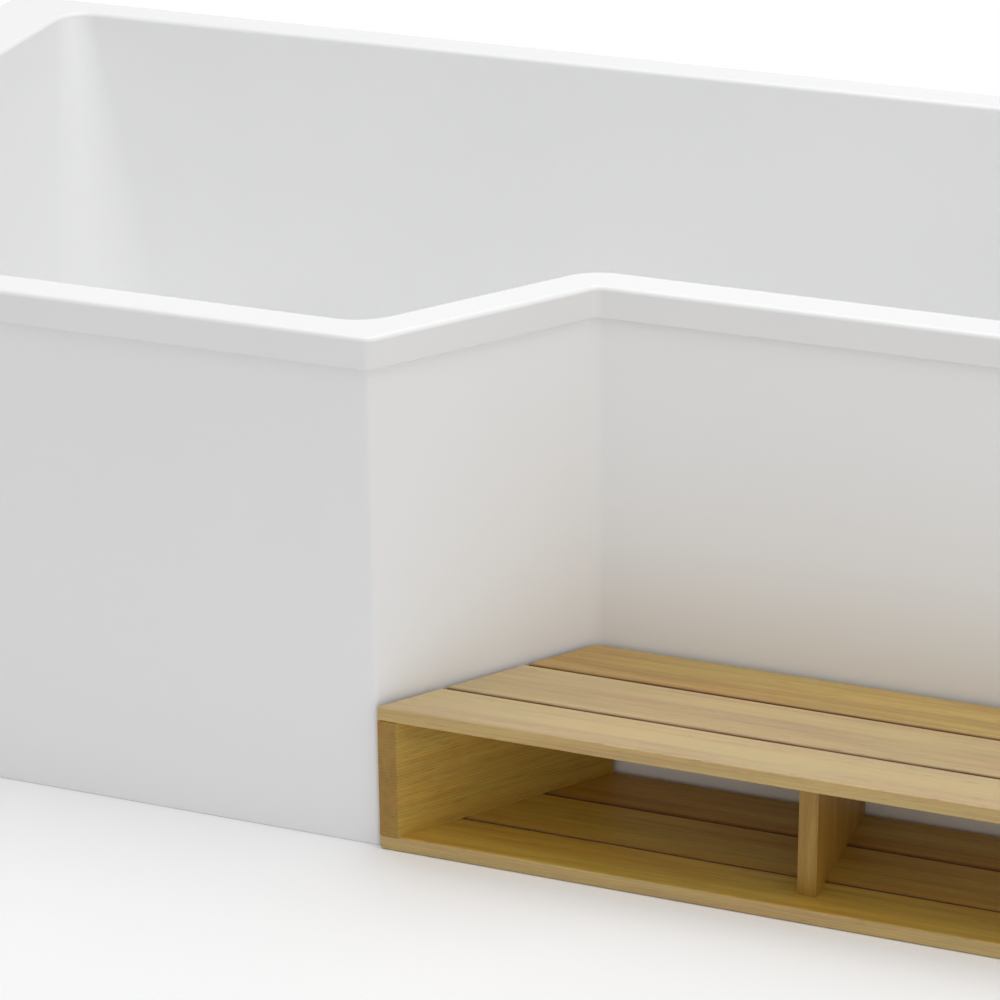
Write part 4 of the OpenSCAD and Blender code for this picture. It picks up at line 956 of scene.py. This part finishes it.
SEAT_CUT_Z = FLOOR_Z + 0.01
DRAIN_CUT_Z = (0.1, 0.2)
HOLE_CUT_Z = (-0.012, 0.012)


def disc(name, r, z0, z1, place):
    """Cylinder that adds to the shell or cuts it."""
    return lathe(name, [(0, z0), (r, z0), (r, z1), (0, z1)], 96, "acrylic", "fibreglass", place=place)


def bath_shell():
    """Acrylic skin with a fibreglass back, which shows under the tub and the rim and on the boss."""
    lower = lower_rings()
    upper = upper_rings()
    piece = loft("bath_shell_skin", lower + upper, "acrylic", "fibreglass")
    count = len(lower[0])
    backed = (len(lower) - 1) * count
    under_floor = len(piece.data.polygons) - 2
    for polygon in piece.data.polygons:
        polygon.material_index = int(polygon.index < backed or polygon.index == under_floor)
    boss = disc("boss", WASTE_FLANGE_R + BOSS_MARGIN, WASTE_SEAT_Z - SHELL_T, WASTE_SEAT_Z, AT_WASTE)
    for polygon in boss.data.polygons:
        polygon.material_index = 1
    cut(piece, boss, "UNION")
    cut(piece, disc("seat", WASTE_FLANGE_R + WASTE_SEAT_CLEAR, WASTE_SEAT_Z, SEAT_CUT_Z, AT_WASTE))
    cut(piece, disc("drain", DRAIN_R, *DRAIN_CUT_Z, AT_WASTE))
    cut(piece, disc("hole", DRAIN_R, *HOLE_CUT_Z, AT_OVERFLOW))
    close_slivers(piece)
    shade(piece, 30)
    return dress(piece, "bath_shell")


bath_shell()


# Front panel

def panel_path(inset):
    """Plan line of the panel from its left return to its right one, at one depth in the sheet."""
    rim = [inset] * CORNERS
    radii = radii_in(OUTER_R, inset)
    ends = PANEL_INSET + PANEL_RETURN
    path = [Vector((-LENGTH / 2 + inset, -WIDTH / 2 + ends))]
    for j, steps in enumerate((10, 10, 14, 10)):
        path += corner_arc(j, rim, radii[j], steps)
    path.append(Vector((LENGTH / 2 - inset, NARROW_Y + ends)))
    return path


def front_panel():
    """Sheet that bends with the front, with its edges eased."""
    edge = 0.0006
    section = []
    front, back = PANEL_INSET + edge, PANEL_INSET + PANEL_T - edge
    corners = ((front, PANEL_TOP_Z - edge, 90), (front, edge, 180), (back, edge, 270),
               (back, PANEL_TOP_Z - edge, 0))
    for inset, z, first in corners:
        for k in range(4):
            a = math.radians(first + 30 * k)
            section.append((inset + edge * math.cos(a), z + edge * math.sin(a)))
    paths = [[(*p, z) for p in panel_path(inset)] for inset, z in section]
    piece = loft("front_panel_sheet", list(zip(*paths)), "panel")
    shade(piece, 50)
    return dress(piece, "front_panel")


front_panel()


# Timber step

PLANK_EDGE_R = 0.0025
PLANK_EASE = 0.0009
PLANK_SPANS = 60
EDGE_UNEVEN = 0.22
EDGE_WAVES = 9
FRONT_EDGE_WORN = 0.55
# The next two darken the front faces of the planks behind the first and of the boards: painted shade in
# the gaps and under the deck
GAP_PAINTED_SHADE = 1.2
BOARD_FRONT_PAINTED_SHADE = 0.45
BOARD_PITH = 0.09
STEP_RIGHT = LENGTH / 2


def return_x(y):
    """X of the panel's return, which the step's left end follows."""
    return CORNER_X + (y + WIDTH / 2) * RETURN_RUN / (NARROW_Y + WIDTH / 2)


def plank_ring(low, high, t, back, inward, r):
    """Section of a plank at a share t of its length, with shares of the ease back and inward."""
    ring = []
    corners = ((high.y - r, high.z - r, 0), (low.y + r, high.z - r, 90),
               (low.y + r, low.z + r, 180), (high.y - r, low.z + r, 270))
    back *= PLANK_EASE
    r -= PLANK_EASE * inward
    for cy, cz, first in corners:
        for k in range(6):
            a = math.radians(first + 18 * k)
            y, z = cy + r * math.cos(a), cz + r * math.sin(a)
            left, right = return_x(y) + back, STEP_RIGHT - back
            ring.append((left + (right - left) * t, y, z))
    return ring


def plank(node, seed, tone, wear_and_sheen):
    """One plank, its long edges worn a little unevenly, its ends eased, and painted shade on the front
    face that shows in the gap before it.
    """
    low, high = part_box(node)
    ends = ((0, 1), (0.3, 0.3), (1, 0))
    rings = [plank_ring(low, high, 0, *ease, PLANK_EDGE_R) for ease in ends]
    for k in range(1, PLANK_SPANS):
        t = k / PLANK_SPANS
        r = PLANK_EDGE_R * (1 + EDGE_UNEVEN * noise.noise(Vector((t * EDGE_WAVES, seed * 3.7, 0))))
        rings.append(plank_ring(low, high, t, 1, 0, r))
    rings += [plank_ring(low, high, 1, *ease, PLANK_EDGE_R) for ease in reversed(ends)]
    piece = loft(node + "_timber", rings, "oak")
    if "front" in node:
        lay_grain(piece, seed, (1, 0, 0), wear_and_sheen, edge=FRONT_EDGE_WORN, tone=tone)
    else:
        lay_grain(piece, seed, (1, 0, 0), wear_and_sheen, tone=tone, front_painted_shade=GAP_PAINTED_SHADE)
    shade(piece, 50)
    return dress(piece, node)


# Each plank's seed, how much darker it is, which for the floor planks under the deck is painted shade,
# deepest at the back, and how much its top is paled by wear and painted sheen
PLANKS = {
    "deck_plank_front": (3, 0.0, 1.0), "deck_plank_middle": (4, 0.2, 0.9),
    "deck_plank_back": (5, 0.34, 0.35), "floor_plank_front": (6, 0.12, 0.0),
    "floor_plank_middle": (7, 0.2, 0.0), "floor_plank_back": (8, 0.5, 0.0),
}
for node, (seed, tone, wear_and_sheen) in PLANKS.items():
    plank(node, seed, tone, wear_and_sheen)

# Each board's seed, the way that its grain runs and how much darker it is, which is painted shade under
# the deck
ALONG_RETURN = Vector((RETURN_RUN, NARROW_Y + WIDTH / 2, 0)).normalized()
BOARDS = {
    "left_board": (21, ALONG_RETURN, 0.0), "middle_divider": (22, (0, 0, 1), 0.7),
    "right_board": (23, (0, 1, 0), 0.2),
}
for node, (seed, direction, tone) in BOARDS.items():
    board = copy_of(node, width=0.0012, segments=3)
    lay_grain(board, seed, direction, tone=tone, pith=BOARD_PITH, front_painted_shade=BOARD_FRONT_PAINTED_SHADE)

lay_grain(copy_of("rim_battens", width=0.0008), seed=31)
lay_grain(copy_of("floor_battens", width=0.0008), seed=32)
lay_grain(copy_of("step_dowels", width=0.0005, segments=1), seed=41, along=(0, 0, 1))


# Screws, nuts, threaded rods and the feet's pads. ON_CUT is how near a vertex is to lie on a cut.

SCREW_TIP = 0.0025
SCREW_TURN = 1.1
THREAD_STEPS = 20
ROD_CHAMFER = 0.0012
ON_CUT = 0.000001


def screw(shank):
    """Pan-head screw pointing up, its head's face at z = 0 with a cross recess."""
    crown = 0.0005
    round_r = 0.0009
    profile = [(0, 0), (SCREW_HEAD_R * 0.45, 0.00008), (SCREW_HEAD_R - round_r, crown)]
    for a in (0.5, 1.0, 1.5):
        profile.append((SCREW_HEAD_R - round_r * (1 - math.sin(a)), crown + round_r * (1 - math.cos(a))))
    top = SCREW_HEAD_H + shank
    profile += [(SCREW_HEAD_R, SCREW_HEAD_H), (SCREW_R, SCREW_HEAD_H), (SCREW_R, top - SCREW_TIP),
                (SCREW_R * 0.15, top), (0, top)]
    piece = lathe("screw", profile, 32, "zinc_steel")
    cross = [Matrix.Rotation(math.pi / 2 * quarter, 2) @ Vector(p)
             for quarter in range(4) for p in ((1.0, -0.2), (1.0, 0.2), (0.2, 0.2))]
    rings = [[(p.x * reach, p.y * reach, z) for p in cross]
             for z, reach in ((-0.0002, 0.0024), (0.0014, 0.0012))]
    cut(piece, loft("recess", rings, "zinc_steel"))
    return piece


def screws(node):
    """A screw for each of the node's solids, each stopped at another turn."""
    boxes = solids_of(node)
    shank = boxes[0][1].z - boxes[0][0].z - SCREW_HEAD_H
    places = [Matrix.Translation(under(*box)) @ Matrix.Rotation(index * SCREW_TURN, 4, "Z")
              for index, box in enumerate(boxes)]
    piece = repeated(node + "_pan", screw(shank), places)
    shade(piece, 35)
    return dress(piece, node)


def hex_nuts(node):
    """Hexagon nuts with their corners chamfered above and below."""
    boxes = solids_of(node)
    height = boxes[0][1].z - boxes[0][0].z
    flat = NUT_R * 0.9
    rise = (NUT_R - flat) * math.tan(math.radians(30))
    nut = loft("nut", [[(x, y, z) for x, y in circle(NUT_R, 6)] for z in (0, height)], "zinc_steel")
    rim = NUT_R + 0.0002
    over = (rim - flat) * math.tan(math.radians(30))
    cone = [(0, 0), (flat, 0), (rim, over), (rim, height - over), (flat, height), (0, height)]
    cut(nut, lathe("chamfer", cone, 72, "zinc_steel"), "INTERSECT")
    past = 0.001
    mouth = ROD_R + 0.0017
    bore = ROD_R + 0.0001
    throat = rise + 0.0006
    hole = [(0, -past), (mouth, -past), (bore, throat), (bore, height - throat),
            (mouth, height + past), (0, height + past)]
    cut(nut, lathe("bore", hole, 48, "zinc_steel"))
    piece = repeated(node + "_chamfered", nut, [Matrix.Translation(under(*box)) for box in boxes])
    shade(piece, 25)
    return dress(piece, node)


def threaded_rod(node):
    """Rod with a real helical thread, cut square at its foot and chamfered at its top."""
    low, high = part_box(node)
    steps = THREAD_STEPS
    root = ROD_R - THREAD_DEPTH
    profile = ((0.0, ROD_R), (0.12, ROD_R), (0.45, root), (0.67, root))
    turns = math.ceil((high.z - low.z) / THREAD_PITCH) + 2
    verts = []
    for turn in range(turns):
        for part, r in profile:
            for k, (x, y) in enumerate(circle(r, steps)):
                verts.append((x, y, low.z + THREAD_PITCH * (turn - 1 + part + k / steps)))
    rows = turns * len(profile)
    faces = []
    for row in range(rows - 1):
        for k in range(steps):
            a = row * steps + k
            if k < steps - 1:
                faces.append((a, a + 1, a + steps + 1, a + steps))
            elif row + 1 + len(profile) < rows:
                b = (row + len(profile)) * steps
                faces.append((a, b, b + steps, a + steps))
    piece = new_object(node + "_threaded", verts, faces, "zinc_steel")

    def trim(bm):
        for z, side in ((low.z, -1), (high.z, 1)):
            geometry = bm.verts[:] + bm.edges[:] + bm.faces[:]
            bmesh.ops.bisect_plane(bm, geom=geometry, plane_co=(0, 0, z), plane_no=(0, 0, side),
                                   clear_outer=True)
            rim = [e for e in bm.edges if e.is_boundary and all(abs(v.co.z - z) < ON_CUT for v in e.verts)]
            bmesh.ops.edgenet_fill(bm, edges=rim)
        for v in bm.verts:
            down = high.z - v.co.z
            limit = ROD_R - (ROD_CHAMFER - down) if down < ROD_CHAMFER else ROD_R
            across = math.hypot(v.co.x, v.co.y)
            if across > limit:
                v.co.x *= limit / across
                v.co.y *= limit / across
        x, y, _ = under(low, high)
        bmesh.ops.translate(bm, vec=(x, y, 0), verts=bm.verts)
        bmesh.ops.recalc_face_normals(bm, faces=bm.faces)

    edit(piece, trim)
    shade(piece, 28)
    return dress(piece, node)


def foot_pad(node):
    """Moulded pad: a flat foot, a flared neck and a collar round the rod."""
    low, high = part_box(node)
    outer = (high.x - low.x) / 2
    collar = ROD_R + 0.004
    socket = ROD_R + 0.00008
    base_z, neck_z, seat_z = 0.005, 0.014, 0.008
    edge = 0.001
    profile = [(0, 0), (outer - edge, 0), (outer, edge), (outer, base_z)]
    for k in range(1, 8):
        t = k / 8
        profile.append((outer + (collar - outer) * t, base_z + (neck_z - base_z) * t ** 2.2))
    profile += [(collar, neck_z), (collar, high.z), (socket, high.z), (socket, seat_z), (0, seat_z)]
    place = Matrix.Translation(under(low, high))
    piece = lathe(node + "_moulded", profile, 96, SLOT_OF[node], place=place)
    soften(piece, width=0.0004)
    return dress(piece, node)


for node in ("clip_screws", "rail_screws", "bracket_screws", "step_screws"):
    screws(node)
hex_nuts("foot_nuts")
for node in NODES:
    if node.endswith("_rod"):
        threaded_rod(node)
    if node.endswith("_pad"):
        foot_pad(node)


# Everything else keeps its shape, with its edges eased
EASED = {
    "base_board": 0.0005, "panel_clips": 0.0005, "shower_leg_rail": 0.0008, "recline_leg_rail": 0.0008,
    "centre_foot_plate": 0.0005, "wall_brackets": 0.0006, "waste_flange": 0.0003, "waste_body": 0.0008,
    "plug_cap": 0.0003, "plug_stem": 0.0003, "overflow_plate": 0.0003, "overflow_knob": 0.0003,
    "overflow_spindle": 0.0003, "overflow_body": 0.0008, "trap_nut": 0.0005, "trap_body": 0.0006,
    "trap_cap": 0.0005, "outlet_nut": 0.0005, "waste_top_seal": 0.0002, "waste_bottom_seal": 0.0004,
    "plug_seal": 0.0003, "overflow_seal": 0.0004, "trap_seal": 0.0004, "outlet_seal": 0.0004,
}
for node, width in EASED.items():
    copy_of(node, width)


# Floor and light: how far from the object's middle the floor's shadow is kept whole, and from where
# it is plain white

SHADOW_REACH = 1.0
WHITE_FROM = 1.65
FLOOR_SIZE = 30
FLOOR_GAP = 0.0003
WORLD_LIGHT = 0.46

# Each lamp's place, the point that it faces, its width and its power in watts
LAMPS = {
    "overhead": ((0.2, -0.2, 4.0), (0, 0, 0), 3.5, 93),
    "right": ((4.5, -1.5, 2.5), (0, 0, 0.3), 2.5, 30),
    "front": ((1.6, -4.6, 1.5), (0.3, -0.3, 0.25), 3.0, 4),
}


def seen_directly(tree):
    """1 for rays that show the background: from the camera, off a gloss or through glass."""
    path = tree.nodes.new("ShaderNodeLightPath")
    seen = path.outputs["Is Camera Ray"]
    for kind in ("Is Glossy Ray", "Is Transmission Ray"):
        either = tree.nodes.new("ShaderNodeMath")
        either.operation = "MAXIMUM"
        tree.links.new(seen, either.inputs[0])
        tree.links.new(path.outputs[kind], either.inputs[1])
        seen = either.outputs[0]
    return seen


def floor_material():
    """White studio floor that keeps the shadows near the bath and is plain white farther off."""
    s = Shader("floor", roughness=0.7)
    at = s.place()
    tone = s.noise(at, 1.5, 3)
    color = s.ramp(tone, [(0.3, grey(0.945)), (0.7, grey(0.955))])
    material = s.finish(color=color)
    distance = s.add("VectorMath", {0: at}, operation="LENGTH").outputs["Value"]
    far = s.remap(distance, SHADOW_REACH, WHITE_FROM, 0, 1)
    seen = seen_directly(s.tree)
    white = s.add("Emission", {"Color": (1, 1, 1, 1), "Strength": 1.0}).outputs[0]
    factor = s.times(far, seen)
    both = s.add("MixShader", {0: factor, 1: s.surface.outputs[0], 2: white}).outputs[0]
    s.tree.links.new(both, s.tree.nodes["Material Output"].inputs[0])
    return material


def make_floor():
    MATERIALS["floor"] = floor_material()
    corners = [(x * FLOOR_SIZE, y * FLOOR_SIZE, 0) for x, y in ((-1, -1), (1, -1), (1, 1), (-1, 1))]
    floor = new_object("floor", corners, [(0, 1, 2, 3)], "floor")
    floor.location.z = -FLOOR_GAP


def area_light(name, at, target, size, power):
    data = bpy.data.lights.new(name, "AREA")
    data.shape = "SQUARE"
    data.size = size
    data.energy = power
    lamp = placed(name, data)
    lamp.location = at
    lamp.rotation_euler = (Vector(target) - Vector(at)).to_track_quat("-Z", "Y").to_euler()


def make_world(strength):
    """Even light on the object, and plain white wherever the world itself is seen."""
    world = bpy.data.worlds.new("world")
    world.use_nodes = True
    bpy.context.scene.world = world
    tree = world.node_tree
    light = tree.nodes["Background"]
    light.inputs["Strength"].default_value = strength
    light.inputs["Color"].default_value = (1, 1, 1, 1)
    white = tree.nodes.new("ShaderNodeBackground")
    white.inputs["Color"].default_value = (1, 1, 1, 1)
    mixed = tree.nodes.new("ShaderNodeMixShader")
    tree.links.new(seen_directly(tree), mixed.inputs[0])
    tree.links.new(light.outputs[0], mixed.inputs[1])
    tree.links.new(white.outputs[0], mixed.inputs[2])
    tree.links.new(mixed.outputs[0], tree.nodes["World Output"].inputs[0])


make_floor()
make_world(WORLD_LIGHT)
for name, (at, target, size, power) in LAMPS.items():
    area_light(name, at, target, size, power)
bpy.context.scene.view_settings.view_transform = "Standard"
